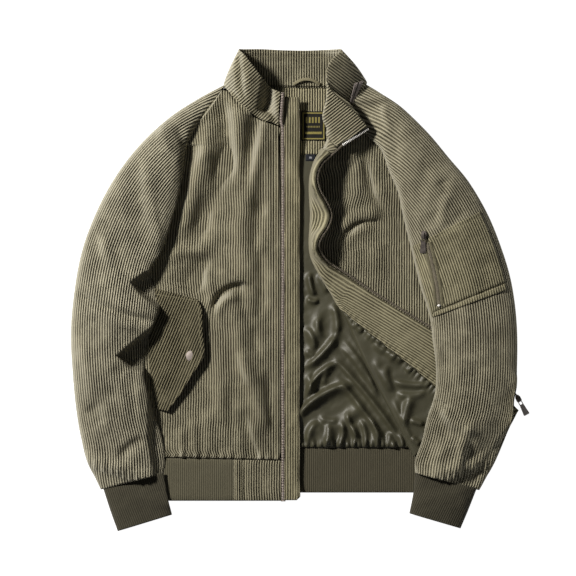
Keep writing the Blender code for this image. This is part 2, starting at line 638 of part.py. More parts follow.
def build():
    for leftover in list(bpy.data.objects):
        bpy.data.objects.remove(leftover)
    corduroy = material("corduroy", 0.17, 0.15, 0.10, 0.9)
    satin = material("satin lining", 0.06, 0.057, 0.04, 0.45)
    rib = material("rib knit", 0.09, 0.08, 0.055, 0.9)
    woven = material("woven label", 0.02, 0.018, 0.012, 0.8)
    tape = material("shoulder tape", 0.12, 0.11, 0.11, 0.8)
    zip_finish = material("zip chain", 0.35, 0.32, 0.30, 0.4, 1.0)
    metal = material("gunmetal", 0.25, 0.24, 0.23, 0.35, 1.0)
    back_pieces(corduroy, satin, rib, woven)
    hanger_loop(corduroy)
    collar_pieces(corduroy, tape)
    right_pieces(corduroy, rib, zip_finish)
    pocket_pieces(corduroy, metal)
    zip_end = left_pieces(corduroy, satin, rib, zip_finish)
    left = sleeve_pieces(corduroy, rib)
    sleeve_pocket(left, corduroy, zip_finish, metal)
    seat = zip_end + Vector((*MAIN_PULL_WAY, 0)) * SLIDER_REACH - Vector((0, 0, SLIDER_CENTRE))
    slider_and_pull("main", frame_at(seat, (*MAIN_PULL_WAY, 0), (0, 0, 1)), metal)


build()
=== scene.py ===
# %% [markdown]
# # A corduroy jacket laid flat
# The jacket is a zipped bomber in olive corduroy with a satin lining and rib-knit hem and cuffs. It lies on
# a pale floor with its left front folded back, so the lining and the woven label show. The frame holds the
# plain solids of every piece. Here each one gets its real cloth, seams and metal. Lengths in the tables are
# millimetres, as a pattern cutter would write them. MM turns them to metres.

# %% Load the frame and note its size
import math

import bmesh
import bpy
import numpy as np
from mathutils import Matrix, Vector


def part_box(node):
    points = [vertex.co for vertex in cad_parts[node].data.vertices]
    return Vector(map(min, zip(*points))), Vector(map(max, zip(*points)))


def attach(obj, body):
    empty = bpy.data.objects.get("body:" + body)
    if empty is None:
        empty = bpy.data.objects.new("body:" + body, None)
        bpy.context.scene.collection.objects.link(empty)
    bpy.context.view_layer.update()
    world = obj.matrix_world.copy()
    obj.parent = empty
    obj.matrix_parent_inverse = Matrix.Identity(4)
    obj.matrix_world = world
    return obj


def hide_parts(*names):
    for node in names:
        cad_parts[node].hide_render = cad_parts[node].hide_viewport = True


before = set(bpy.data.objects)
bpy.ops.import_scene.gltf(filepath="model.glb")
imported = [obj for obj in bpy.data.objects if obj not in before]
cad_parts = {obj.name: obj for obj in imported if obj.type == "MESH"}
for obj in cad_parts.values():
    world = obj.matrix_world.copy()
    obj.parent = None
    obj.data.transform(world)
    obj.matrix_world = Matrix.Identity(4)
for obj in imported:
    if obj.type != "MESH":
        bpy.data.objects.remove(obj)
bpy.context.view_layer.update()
MM = 0.001

# %% [markdown]
# ## Reading a table as a smooth curve
# A garment piece is known by a few stations along its length: where each edge lies and how high the cloth
# stands. A smooth curve through those stations gives every point between them. Hermite cubics pass through
# each station without the overshoot that a higher polynomial has.

# %% Curves through tables, and soft steps


def flow(table, key):
    """The smooth curve through a table's rows, read at key, which runs along its first column."""
    table = np.array(table, float)
    knots, values = table[:, 0], table[:, 1:]
    slopes = np.gradient(values, knots, axis=0)
    key = np.clip(key, knots[0], knots[-1])
    row = np.clip(np.searchsorted(knots, key, side="right") - 1, 0, len(knots) - 2)
    step = (knots[row + 1] - knots[row])[:, None]
    f = (key - knots[row])[:, None] / step
    start, end = values[row], values[row + 1]
    into, out = slopes[row] * step, slopes[row + 1] * step
    cubic = 2 * (start - end) + into + out
    square = 3 * (end - start) - 2 * into - out
    return ((cubic * f + square) * f + into) * f + start


def smooth(low, high, value):
    f = np.clip((value - low) / (high - low), 0, 1)
    return f * f * (3 - 2 * f)


def bell(offset):
    """A soft bump: 1 at offset 0, fading either side."""
    return np.exp(-(offset**2))


def points(*columns):
    return np.column_stack(np.broadcast_arrays(*columns))


def unit(ways):
    return ways / np.linalg.norm(ways, axis=1, keepdims=True)


def between(ends, share):
    """What lies share of the way from the first of two ends to the second."""
    return ends[0] + (ends[1] - ends[0]) * share


def read_columns(table, knots, at):
    """The columns of a table of points, read in straight lines between its knots."""
    return np.array([np.interp(at, knots, column) for column in table.T]).T


# %% [markdown]
# ## Creases
# Cloth that lies flat keeps soft folds of many sizes. Each row of a crease table is one of them: where it
# starts and ends, how far its middle bows sideways, its half width, how high it rises (or how deep it dips,
# below zero), and its lean, which makes one flank steeper than the other. The height fades to nothing at
# both ends, so no crease stops short. The puckers beside a gathered seam come from one wave that dies out
# away from the seam.

# %% Folds, creases, ripples and puckers


def folds(table, x, y):
    """Sum of soft banks, each along a line: start x, y, end x, y, half width, rise."""
    total = np.zeros_like(x)
    for x0, y0, x1, y1, width, rise in table:
        dx, dy = x1 - x0, y1 - y0
        along = np.clip(((x - x0) * dx + (y - y0) * dy) / (dx * dx + dy * dy), 0, 1)
        off = np.hypot(x - x0 - along * dx, y - y0 - along * dy)
        total += rise * bell(off / width)
    return total


def creases(table, x, y):
    """Sum of tapered creases: start x, y, end x, y, bow, half width, rise, lean."""
    total = np.zeros_like(x)
    for x0, y0, x1, y1, bow, width, rise, lean in table:
        dx, dy = x1 - x0, y1 - y0
        length = math.hypot(dx, dy)
        along = ((x - x0) * dx + (y - y0) * dy) / length**2
        off = ((x - x0) * dy - (y - y0) * dx) / length - 4 * bow * along * (1 - along)
        wide = width * np.where(off > 0, 1 + lean, 1 - lean)
        fade = smooth(-0.12, 0.22, along) * smooth(1.12, 0.78, along)
        total += rise * fade * bell(off / wide)
    return total


def rumple(x, y, size, seed=0.0):
    """An uneven, gentle surface between -1 and 1, with bumps of about size."""
    k = math.tau / size
    wave = np.sin(k * (0.83 * x + 0.41 * y) + 1.7 + seed)
    wave = wave + np.sin(k * (-0.37 * x + 0.92 * y) * 0.81 + 0.6 * seed)
    wave = wave + np.sin(k * (0.55 * x - 0.71 * y) * 1.27 + 2.3 * seed + 0.9 * wave)
    return wave / 3


def puckers(along, away, pitch, reach, depth):
    """Short gathers across a seam: along runs down the seam and away is the distance from it."""
    turn = math.tau * along / pitch
    wave = np.sin(turn + 1.4 * np.sin(along / (1.9 * pitch)) + 0.8 * np.sin(along / (0.7 * pitch)))
    return depth * (0.45 + 0.55 * wave) * bell(away / reach) * smooth(-0.5, 2.0, away)


one_crease = creases(((0, 0, 0, 10, 0, 2, 4, 0),), np.zeros(1), np.array([5.0]))
print("a crease 4 mm high reads", round(float(one_crease[0]), 2))

# %% [markdown]
# ## Colours and nodes
# Colours are written as sRGB hex, as a colour picker shows them, and turned to the linear values that
# shaders use. One helper adds a node, sets it and links its inputs, so each material below reads as a short
# recipe. What several materials share, such as noise and ridges, comes from functions of its own.

# %% Colour and node helpers


def linear(code):
    """A hex colour as linear RGBA."""
    shares = [int(code[i : i + 2], 16) / 255 for i in (1, 3, 5)]
    return (*[s / 12.92 if s <= 0.04045 else ((s + 0.055) / 1.055) ** 2.4 for s in shares], 1)


def add(tree, kind, settings=None, **inputs):
    """A new node: settings are its properties, and each input is a value or another node's output."""
    node = tree.nodes.new(kind)
    for key, value in (settings or {}).items():
        setattr(node, key, value)
    for key, value in inputs.items():
        numbered = key[0] == "_" and key[1:].isdigit()
        socket = node.inputs[int(key[1:]) if numbered else key.replace("_", " ")]
        if isinstance(value, bpy.types.NodeSocket):
            tree.links.new(value, socket)
        else:
            socket.default_value = value
    return node


def finish(name, **values):
    """A new material with its shader's uniform values set, its node tree and its shader."""
    made = bpy.data.materials.new(name)
    made.use_nodes = True
    shader = made.node_tree.nodes["Principled BSDF"]
    for key, value in values.items():
        shader.inputs[key.replace("_", " ")].default_value = value
    return made, made.node_tree, shader


def maths(tree, operation, a, b=0.0, c=0.0, clamp=False):
    settings = {"operation": operation, "use_clamp": clamp}
    return add(tree, "ShaderNodeMath", settings, _0=a, _1=b, _2=c).outputs[0]


def blend_colours(tree, share, a, b, mode="MIX"):
    """A mix of two colours, each a hex code or another node's output."""
    a, b = (linear(colour) if isinstance(colour, str) else colour for colour in (a, b))
    node = add(tree, "ShaderNodeMix", {"data_type": "RGBA", "blend_type": mode}, _0=share, _6=a, _7=b)
    return node.outputs[2]


print("mid olive in linear light", [round(c, 3) for c in linear("#736D59")[:3]])

# %% Patterns that several materials share


def own_place(tree):
    """The point's place in the object's own coordinates."""
    return add(tree, "ShaderNodeTexCoord").outputs["Object"]


def cloth_place(tree):
    """The two coordinates of the cloth's UV map."""
    lay = add(tree, "ShaderNodeUVMap", {"uv_map": "cloth"})
    split = add(tree, "ShaderNodeSeparateXYZ", Vector=lay.outputs[0])
    return split.outputs[0], split.outputs[1]


def noise(tree, place, scale, detail, **more):
    return add(tree, "ShaderNodeTexNoise", Vector=place, Scale=scale, Detail=detail, **more).outputs["Fac"]


def ridges(tree, distance, pitch, wander=0.0):
    """A wave from 0 in the valleys to 1 on the ridges, with one ridge every pitch."""
    phase = maths(tree, "MULTIPLY_ADD", distance, math.tau / pitch, wander)
    return maths(tree, "MULTIPLY_ADD", maths(tree, "COSINE", phase), 0.5, 0.5)


def dress(tree, shader, colour, strength, depth, height):
    """Give the shader its colour and a bump of this height."""
    tree.links.new(colour, shader.inputs["Base Color"])
    bump = add(tree, "ShaderNodeBump", Strength=strength, Distance=depth, Height=height)
    tree.links.new(bump.outputs[0], shader.inputs["Normal"])


print("patterns ready")

# %% [markdown]
# ## Corduroy
# Cotton corduroy has a cut pile that stands in parallel ridges, the wales, with bare ground weave between
# them. The real wales are 4.1 mm apart. Each piece carries a UV map whose first coordinate is the distance
# across the wales in metres, so they bend over folds and stop at seams as woven ones do. A cosine of that
# distance makes rounded ridges and narrow, dark valleys: the ground weave, with painted shade in the grooves.
# Fine noise gives the brushed pile, and slow noise the patches where the nap lies another way. Cotton is
# matt, and its standing fibres give a soft sheen at a glancing angle. On steep faces turned to the left,
# where the light comes from, a pale colour is mixed in: a painted highlight.

# %% The corduroy recipe
WALE = 0.0041  # metres from ridge to ridge
PATCHY = 0.6  # how far the slow noise takes the colour down
SHEEN = {"Sheen_Weight": 0.18, "Sheen_Roughness": 0.45, "Sheen_Tint": linear("#CFC8AE")}


def corduroy(name, ridge, valley_with_shade, depth=1.0, seed=0.0, painted_highlight=0.65):
    made, tree, shader = finish(name, Roughness=0.93, Specular_IOR_Level=0.12, **SHEEN)
    place = own_place(tree)
    wander = maths(tree, "MULTIPLY_ADD", noise(tree, place, 95.0, 2.0), 0.42, seed - 0.21)
    round_top = maths(tree, "POWER", ridges(tree, cloth_place(tree)[0], WALE, wander), 0.9)
    pile = noise(tree, place, 620.0, 3.0, Roughness=0.7)
    worn = noise(tree, place, 34.0, 4.0, Roughness=0.62)
    nap = noise(tree, place, 9.0, 2.0)
    shallow = maths(tree, "MULTIPLY_ADD", worn, 2.6, -1.1, clamp=True)
    filled = maths(tree, "MAXIMUM", round_top, maths(tree, "MULTIPLY", shallow, 0.5))
    tufts = maths(tree, "MULTIPLY_ADD", pile, 0.5, -0.25)
    normal = add(tree, "ShaderNodeNewGeometry").outputs["True Normal"]
    facing = add(tree, "ShaderNodeSeparateXYZ", Vector=normal)
    edge_on = maths(tree, "MULTIPLY_ADD", facing.outputs[2], -2.4, 1.7, clamp=True)
    seen = add(tree, "ShaderNodeMix", _0=edge_on, _2=filled, _3=0.45).outputs[0]
    share = maths(tree, "ADD", seen, tufts, clamp=True)
    level = maths(tree, "MULTIPLY_ADD", maths(tree, "ADD", nap, worn), PATCHY, 1 - PATCHY)
    light = add(tree, "ShaderNodeCombineColor", Red=level, Green=level, Blue=level).outputs[0]
    # The valley colour is the ground weave darkened with painted shade in the grooves between the wales.
    colour = blend_colours(tree, 1.0, blend_colours(tree, share, valley_with_shade, ridge), light, "MULTIPLY")
    # Painted highlight: steep faces turned to the left, where the light comes from, get a pale colour mixed
    # in.
    steep = maths(tree, "MULTIPLY_ADD", facing.outputs[2], -2.4, 2.1, clamp=True)
    toward_light = maths(tree, "MULTIPLY_ADD", facing.outputs[0], -1.6, 0.1, clamp=True)
    highlighted = maths(tree, "MULTIPLY", maths(tree, "MULTIPLY", steep, toward_light), painted_highlight)
    height = maths(tree, "MULTIPLY_ADD", pile, 0.25, round_top)
    dress(tree, shader, blend_colours(tree, highlighted, colour, "#C6C2B0"), 1.0, 0.0016 * depth, height)
    return made


cord_front = corduroy("cotton corduroy, front", "#A59F87", "#2A271C")
# A lit copy of the corduroy, with paler ridges and darker valleys than the front's: painted light and shade
# for the light that crosses this sleeve's wales.
cord_sleeve_lit = corduroy("cotton corduroy, sleeve", "#B8B29B", "#0F0D07", depth=1.2, seed=1.0)
cord_left = corduroy("cotton corduroy, left sleeve", "#ACA68F", "#2E2A1D", depth=0.9, seed=4.0)
cord_pale = corduroy("cotton corduroy, facing", "#A19B80", "#383425", depth=0.7, seed=2.0, painted_highlight=0.25)
# A paler copy of the corduroy for the yoke: painted light against the collar's shade.
cord_yoke_lit = corduroy("cotton corduroy, yoke", "#B3AC8E", "#1C1910", depth=0.9, seed=5.0, painted_highlight=0.25)
# A darker copy of the corduroy for the flap: painted shade, where the sleeve's shadow falls on it.
cord_flap_shade = corduroy("cotton corduroy, flap", "#7E7861", "#0D0B06", depth=1.1, seed=3.0)
print("corduroy made,", round(WALE * 1000, 1), "mm a wale")

# %% [markdown]
# ## Satin lining
# The lining is a polyester satin: long floats of bright yarn lie on the face, so it reflects in soft
# streaks. It needs no print, only gloss, and its look comes from the wrinkles modelled in its mesh. Creases
# too small to model come from a bump that is stretched one way.

# %% The satin recipe
gloss = {"Roughness": 0.5, "Sheen_Weight": 0.12, "Sheen_Roughness": 0.3, "Specular_IOR_Level": 0.5}
satin, tree, shader = finish("polyester satin", **gloss)
place = own_place(tree)
slow = noise(tree, place, 14.0, 3.0)
pulled = add(tree, "ShaderNodeMapping", Vector=place, Scale=(1.0, 0.45, 1.0), Rotation=(0, 0, 0.6))
crush = noise(tree, pulled.outputs[0], 60.0, 2.0, Distortion=0.6)
dress(tree, shader, blend_colours(tree, slow, "#363427", "#4E4C3A"), 0.35, 0.0012, crush)
print("satin made")

# %% [markdown]
# ## Rib knit
# Hem and cuffs are a two-by-two rib: pairs of raised stitch columns with a sunk pair between them, 3.4 mm
# from rib to rib. The ribs run with the garment, so the piece's UV map gives the distance across them as it
# does for the wales. Yarn is rounder and flatter in colour than pile, so the contrast is low and the bump is
# soft.

# %% The rib recipe
RIB_PITCH, LOOP_PITCH = 0.0034, 0.0016  # metres across the ribs and along them
MATT = {"Roughness": 0.95, "Sheen_Weight": 0.12, "Sheen_Roughness": 0.5, "Specular_IOR_Level": 0.1}


def rib_knit(name, crown, sunk, seed=0.0):
    made, tree, shader = finish(name, **MATT)
    place = own_place(tree)
    across_ribs, along_ribs = cloth_place(tree)
    wander = maths(tree, "MULTIPLY_ADD", noise(tree, place, 60.0, 1.0), 0.5, seed)
    loops = maths(tree, "SINE", maths(tree, "MULTIPLY", along_ribs, math.tau / LOOP_PITCH))
    knit = maths(tree, "MULTIPLY_ADD", loops, 0.12, ridges(tree, across_ribs, RIB_PITCH, wander))
    even = maths(tree, "MULTIPLY", knit, 0.85)
    share = maths(tree, "MULTIPLY_ADD", noise(tree, place, 420.0, 2.0), 0.3, even, clamp=True)
    dress(tree, shader, blend_colours(tree, share, sunk, crown), 0.6, 0.0009, knit)
    return made


rib_hem = rib_knit("cotton rib knit, hem", "#696554", "#444134")
rib_back = rib_knit("cotton rib knit, back", "#5A5647", "#3A372C", seed=1.3)
rib_cuff = rib_knit("cotton rib knit, cuff", "#514E41", "#302D25", seed=2.1)
print("rib knit made,", round(RIB_PITCH * 1000, 1), "mm a rib")

# %% [markdown]
# ## Small finishes
# The zip chain is nickel with an antique finish: brushed, a little pink-grey, dark in its gaps. The sliders
# and the pocket's pull are zinc castings plated in gunmetal. The main pull is pink nickel made near white:
# painted light, so that it shows lit in the sleeve's shade. A near-white copy of the nickel paints a
# highlight on the lapel's teeth and the pocket's stop. The stud cap is matt nickel. The neck tape is a
# grosgrain, ribbed crosswise.

# %% Metal recipes


def plated(name, dark, light, roughness, metallic, grain=900.0):
    made, tree, shader = finish(name, Metallic=metallic)
    place = own_place(tree)
    worn = noise(tree, place, 260.0, 4.0)
    rough = maths(tree, "MULTIPLY_ADD", worn, 0.3, roughness - 0.15)
    tree.links.new(rough, shader.inputs["Roughness"])
    fine = noise(tree, place, grain, 2.0)
    dress(tree, shader, blend_colours(tree, worn, dark, light), 0.25, 0.0002, fine)
    return made


nickel = plated("antique nickel teeth", "#7E736D", "#C9BDB6", 0.56, 0.6)
dark_nickel = plated("dark antique nickel teeth", "#4A423D", "#80756E", 0.5, 0.7)
gunmetal = plated("gunmetal plated zinc", "#262321", "#948B85", 0.36, 0.6)
# Painted light: the main pull's nickel is made near white so that it shows lit in the sleeve's shade.
pull_nickel_lit = plated("pale pink nickel, painted light", "#BDB2AC", "#EFE7E2", 0.5, 0.2)
# A near-white copy of the nickel: painted highlight, for the lapel's teeth and the pocket's stop.
highlight_nickel = plated("bright worn nickel", "#E4E1DD", "#FAF9F7", 0.4, 0.2)
stud_nickel = plated("matt nickel stud", "#8F8580", "#B5ABA5", 0.62, 0.7, grain=1500.0)
print("metals made")

# %% Tape and thread recipes


def ribbed_tape(name, light, dark, pitch, parted=False):
    made, tree, shader = finish(name, Roughness=0.8, Specular_IOR_Level=0.2)
    down = cloth_place(tree)[1]
    share = ridges(tree, down, pitch)
    colour = blend_colours(tree, share, dark, light)
    if parted:  # two narrow tapes side by side, with a dark line between them
        # Painted shade: a near-black line where the gap between the two tapes lies in shade.
        gap_shade = maths(tree, "COMPARE", down, 0.008, 0.0016)
        colour = blend_colours(tree, gap_shade, colour, "#211D16")
    dress(tree, shader, colour, 0.5, 0.0005, share)
    return made


def spun(name, colour, lighter):
    made, tree, shader = finish(name, Roughness=0.85)
    twist = noise(tree, own_place(tree), 1400.0, 1.0)
    tree.links.new(blend_colours(tree, twist, colour, lighter), shader.inputs["Base Color"])
    return made


grosgrain = ribbed_tape("grosgrain neck tape", "#9C938F", "#6A615C", 0.0021, parted=True)
zip_tape = ribbed_tape("woven zip tape", "#5E594B", "#3B372C", 0.0012)
coil = spun("polyester zip coil", "#6A6354", "#8F8775")
thread = spun("polyester thread", "#6E6850", "#9A9478")
print("tape and thread made")

# %% [markdown]
# ## Woven labels
# The neck label is black damask with a gold-olive border and a plain geometric filling: rows of small
# blocks, as a weaver's test piece has. The size label is navy with one pale bar. Both patterns are drawn
# from the label's UV map, which runs from 0 to 1 each way.

# %% The label recipe


def within(tree, value, low, high):
    """1 where value lies between low and high, else 0."""
    above = maths(tree, "GREATER_THAN", value, low)
    return maths(tree, "MULTIPLY", above, maths(tree, "LESS_THAN", value, high))


def patch_of(tree, u, v, u_range, v_range):
    """1 in a rectangle of the label, else 0."""
    return maths(tree, "MULTIPLY", within(tree, v, *v_range), within(tree, u, *u_range))


def label_cloth(name, ground, yarn, border, bars):
    """The border is its inner and outer u, v. A bar is a row of blocks: low and high v, low and high u, how
    many blocks, and the share of each that is yarn."""
    made, tree, shader = finish(name, Roughness=0.7, Specular_IOR_Level=0.3)
    u, v = cloth_place(tree)
    inner, outer = (patch_of(tree, u, v, (a, 1 - a), (b, 1 - b)) for a, b in border)
    drawn = maths(tree, "SUBTRACT", outer, inner)
    for low_v, high_v, low_u, high_u, blocks, filled in bars:
        row = patch_of(tree, u, v, (low_u, high_u), (low_v, high_v))
        steps = maths(tree, "MULTIPLY", maths(tree, "SUBTRACT", u, low_u), blocks / (high_u - low_u))
        solid = maths(tree, "LESS_THAN", maths(tree, "FRACT", steps), filled)
        drawn = maths(tree, "MAXIMUM", drawn, maths(tree, "MULTIPLY", row, solid))
    weave = noise(tree, own_place(tree), 900.0, 2.0)
    cover = maths(tree, "MULTIPLY_ADD", weave, 0.7, 0.55)
    covered = maths(tree, "MULTIPLY", drawn, cover, clamp=True)
    height = maths(tree, "MULTIPLY_ADD", weave, 0.6, drawn)
    dress(tree, shader, blend_colours(tree, covered, ground, yarn), 0.4, 0.0003, height)
    return made


neck_border, no_border = ((0.10, 0.085), (0.05, 0.042)), ((0.0, 0.0), (0.0, 0.0))
neck_bars = (
    (0.6, 0.8, 0.18, 0.82, 5, 0.55), (0.44, 0.5, 0.22, 0.78, 9, 0.5), (0.22, 0.3, 0.16, 0.84, 1, 1),
)
size_bars = ((0.35, 0.65, 0.36, 0.62, 1, 1.0),)
neck_cloth = label_cloth("damask neck label", "#14130E", "#8E8449", neck_border, neck_bars)
size_cloth = label_cloth("damask size label", "#171A22", "#8A8B92", no_border, size_bars)
print("labels made")

# %% [markdown]
# ## The pattern's measures
# These tables are the garment itself: for each piece, the stations along its length with the place of both
# edges and the height at which the cloth lies. They are the same ones that the solids were made from, so
# each cloth piece lands exactly in its solid's place.

# %% Sizes of the cloth and its main lines
GAP = 0.3  # between neighbouring pieces
SHELL = 2.0  # corduroy wall
LINING = 1.0  # lining and facing walls
RIB = 3.0  # doubled rib knit
LABEL = 0.8  # folded label
HEM_EDGE = -337.0  # y of the hem's lower edge
BACK_RIB_TOP, BACK_RIB_EDGE = -251.0, -324.0
NECK_BACK = 324.0  # y of the back neck seam
YOKE_EDGE = 218.0  # y where the back neck facing meets the lining
ZIP_X = -29.5  # centre line of the right zip
LEFT_ROWS = 26  # rows of the left front and its facing, shared so that they nest
CROWD = 1.6  # how much the columns crowd at the fold
FLY_EDGE, FLY_TOP = 0.0, 309.0  # free edge and top of the fly behind the right zip
BACK_TOP = 2.0  # top of the back panel, which lies on the table
LINING_TOP = 3.6
ON_LINING = LINING_TOP + SHELL + 0.8  # the lowest that the face of a front lies on the lining
FRONT_TOP = 12.0  # top of a front where it lies on the lining
print("corduroy wall", SHELL, "mm, rib", RIB, "mm")

# %% Stations of the back, fronts and sleeves
# Right front and back: y, x of the raglan and side edge, from hem to neck
RIGHT_SIDE = (
    (-340, -251), (-268, -251), (-100, -251), (0, -250), (50, -243), (100, -229), (150, -215), (200, -201),
    (225, -187), (241, -184.5), (263, -168), (287, -148), (311, -131), (329, -121),
)
LEFT_SIDE = (
    (-340, 252), (-262, 251), (-100, 251), (0, 250), (40, 246), (80, 236), (120, 217), (160, 192),
    (200, 166), (229, 145), (252, 123), (274, 103), (298, 84), (330, 76),
)
# Right front: v, raglan or side edge x, y, zip or neck edge x, y, from the hem up
RIGHT_FRONT = (
    (0, -250, -267, -33, -272), (0.15, -251, -180, -33, -180), (0.3, -250, -90, -32.5, -90),
    (0.45, -249, 0, -32.5, 0), (0.55, -240, 60, -32.5, 60), (0.65, -226, 112, -33, 120),
    (0.75, -209, 172, -34, 180), (0.82, -186, 222, -34.5, 220), (0.87, -183, 241, -34.5, 245),
    (0.91, -172, 256, -36, 262), (0.94, -158, 273, -62, 271), (0.97, -141, 296, -94, 290),
    (1, -126, 320, -121, 319),
)
# Sleeves: v, outer edge x, y, inner edge x, y, height of the top, bow of the section towards the neck
RIGHT_SLEEVE = (
    (0, -124, 329, -187.5, 242, 21, 0), (0.06, -165, 306, -190, 212, 32, 0),
    (0.13, -208, 278, -190, 180, 41, 0), (0.21, -256, 234, -196, 148, 46, 0),
    (0.3, -300, 176, -208, 104, 48, 0), (0.39, -333, 111, -222, 62, 48, 0),
    (0.48, -354, 46, -240, 26, 47, 0), (0.56, -365, -27, -225, -24, 50, 0),
    (0.64, -367.5, -79, -243, -74, 46, 0), (0.72, -365, -128, -251, -124, 46, 0),
    (0.8, -360, -183, -240, -178, 46, 0), (0.88, -352, -233, -223, -232, 44, 0),
    (0.95, -339, -281, -217, -268, 36, 0), (1, -319, -316, -219, -290, 28, 0),
)
LEFT_SLEEVE = (
    (0, 107, 329, 110, 271, 22, 17), (0.04, 131, 314, 128, 252, 30, 13), (0.08, 159, 295, 145, 231, 38, 9),
    (0.13, 198, 258, 151, 190, 44, 3), (0.2, 238, 211, 158, 146, 50, 0), (0.28, 270, 172, 167, 104, 53, 0),
    (0.36, 300, 120, 178, 60, 54, 0), (0.44, 322, 65, 190, 10, 54, 0), (0.53, 338, 8, 206, -42, 54, 0),
    (0.62, 346, -60, 211, -82, 54, 0), (0.7, 346, -128, 216, -124, 54, 0),
    (0.77, 343, -172, 214, -166, 52, 0), (0.83, 337, -207, 202, -204, 52, 0),
    (0.9, 325, -240, 194, -240, 48, 0), (0.96, 306, -284, 183, -272, 38, 0),
    (1, 285, -317, 182, -289, 31, 0),
)
RIGHT_CUFF = (
    (0, -316.5, -316, -219.5, -290.8, 27, 0), (0.5, -305, -352, -214, -326, 25, 0),
    (1, -293, -385.5, -206, -359, 22, 0),
)
LEFT_CUFF = (
    (0, 282, -316.9, 184.5, -290.4, 30, 0), (0.5, 269, -350, 180, -326, 28, 0),
    (1, 256, -381, 174, -357, 24, 0),
)
print("sleeve stations:", len(RIGHT_SLEEVE), len(LEFT_SLEEVE))

# %% Stations of the folded left front, its facing and the collar
# Left front: v, fold x, y, zip edge x, y, height of the lower layer, of the fold's top and of the zip edge
LEFT_FRONT = (
    (0, 43, 244, 58, 227, 16, 36, 38), (0.04, 33, 222, 42, 216, 15, 34, 42),
    (0.08, 23, 204, 28, 202, 13, 32, 47), (0.12, 17, 181, 21, 181, 11, 30, 50),
    (0.16, 16, 160, 26, 160, 10, 29, 46), (0.2, 17, 140, 38, 140, 10, 28, 38),
    (0.24, 18, 121, 45, 121, 9, 27, 31), (0.28, 17, 100, 40, 101, 9, 26, 33),
    (0.32, 16, 85, 29, 85, 8, 25, 39), (0.36, 16, 70, 24, 71, 8, 24, 41), (0.4, 18, 56, 29, 58, 8, 22, 35),
    (0.44, 23, 43, 42, 44, 8, 20, 27), (0.5, 35, 21, 50, 37, 7, 18, 24), (0.56, 51, -5, 73, 23, 7, 17, 20),
    (0.64, 70, -38, 100, 4, 7, 16.5, 18), (0.76, 105, -115, 164, -36, 7, 16, 17),
    (0.88, 146, -194, 232, -78, 7, 16, 16), (1, 183, -266, 295, -124, 7, 16, 14),
    (1.12, 221, -338, 350, -177, 6.5, 15.5, 4),
)
# Where each row of the left front meets the side edge: v, then y
LEFT_SIDE_ROWS = (
    (0, 0.04, 0.08, 0.12, 0.2, 0.28, 0.44, 1, 1.12), (298, 275, 253, 230, 170, 120, 40, -262, -334),
)
# Where the facing ends, as a distance from the zip edge: v, width
LEFT_FACING = ((0.00, 34), (0.24, 46), (0.44, 40), (0.56, 46), (0.70, 54), (0.85, 66), (1.00, 76), (1.12, 80))
# Collar: t from the right zip to the left one, then base, middle and top edge, each x, y, z
COLLAR = (
    (0, -35, 266, 21, -34, 291, 27, -32, 317, 30), (0.06, -48, 270.5, 18, -46, 295, 17, -43, 322, 30),
    (0.12, -60, 274.5, 17, -57, 302, 19, -53, 330, 36), (0.19, -76, 284, 23, -70, 313, 38, -64, 343, 48),
    (0.26, -92, 297, 25, -86, 327, 46, -78, 361, 55), (0.33, -108, 312, 24, -103, 342, 46, -90, 377, 57),
    (0.39, -121, 331, 15, -112, 354, 34, -97, 384, 49), (0.45, -104, 335, 6, -99, 358, 16, -90, 384, 36),
    (0.51, -70, 330, 5.5, -68, 356, 11, -64, 385, 25), (0.59, -28, 327, 5.5, -28, 355, 9.5, -28, 383.5, 20),
    (0.67, 12, 326, 5.5, 12, 354, 9.5, 12, 383, 20), (0.74, 50, 327, 5.5, 46, 355, 12, 40, 383.5, 28),
    (0.79, 82, 332, 6, 70, 357, 19, 55, 383.5, 42), (0.83, 103, 335, 12, 86, 359, 35, 63, 382.5, 52),
    (0.87, 96, 320, 22, 72, 340, 45, 46, 364, 57), (0.905, 86, 304, 21, 58, 322, 47, 41, 343, 57),
    (0.935, 70, 281, 20, 44, 299, 43, 53, 318, 56), (0.96, 56, 263, 21, 39, 276, 40, 78, 298, 52),
    (0.98, 42.5, 248, 29, 60, 266, 45, 93, 281, 47), (1, 58, 230, 41, 83, 246, 44, 108, 262, 43),
)
print("collar stations:", len(COLLAR))

# %% Large folds, the pocket flap and the metal's places
# Large folds: start x, y, end x, y, half width, rise
FRONT_FOLDS = (
    (-226, 200, -215, 60, 16, 3), (-150, 215, -140, 120, 11, 4), (-60, 235, -95, 120, 13, 4),
    (-120, 26, -92, 10, 10, 5), (-66, 110, -58, 0, 10, 3), (-92, -110, -62, -205, 12, 3.5),
)
LINING_FOLDS = (
    (40, -20, 20, -75, 9, 5), (100, -140, 55, -90, 8, 5), (20, -180, 80, -150, 9, 5),
    (60, -215, 110, -175, 9, 5), (120, -240, 150, -200, 9, 5), (30, -225, 44, -240, 12, 6),
)
LEFT_FOLDS = ((92, 95, 112, 116, 9, 4), (75, 150, 150, 160, 20, 2))
# Pocket flap: v, outer edge x, y, free edge x, y
POCKET_FLAP = (
    (0, -231, -190, -213, -193), (0.18, -238, -160, -191, -163), (0.35, -241, -134, -173, -134),
    (0.48, -242, -106, -156, -108), (0.68, -242, -68, -157, -66), (0.9, -241, -22, -160, -24),
    (1, -240, 5, -166, -14),
)
SNAP = (-175, -105)  # centre of the stud cap
SLEEVE_POCKET_U, SLEEVE_POCKET_V = (0.09, 0.44), (0.345, 0.535)  # part of the left sleeve's turn and length
# Zip slot of the sleeve pocket: x, y, from slider to stop
POCKET_SLOT = ((201, 76), (206, 60), (213, 30), (218, 5), (221, -22))
ZIP_END = 1.105  # v of the left zip's lower end, where its slider hangs
print("pocket slot runs", POCKET_SLOT[0], "to", POCKET_SLOT[-1])

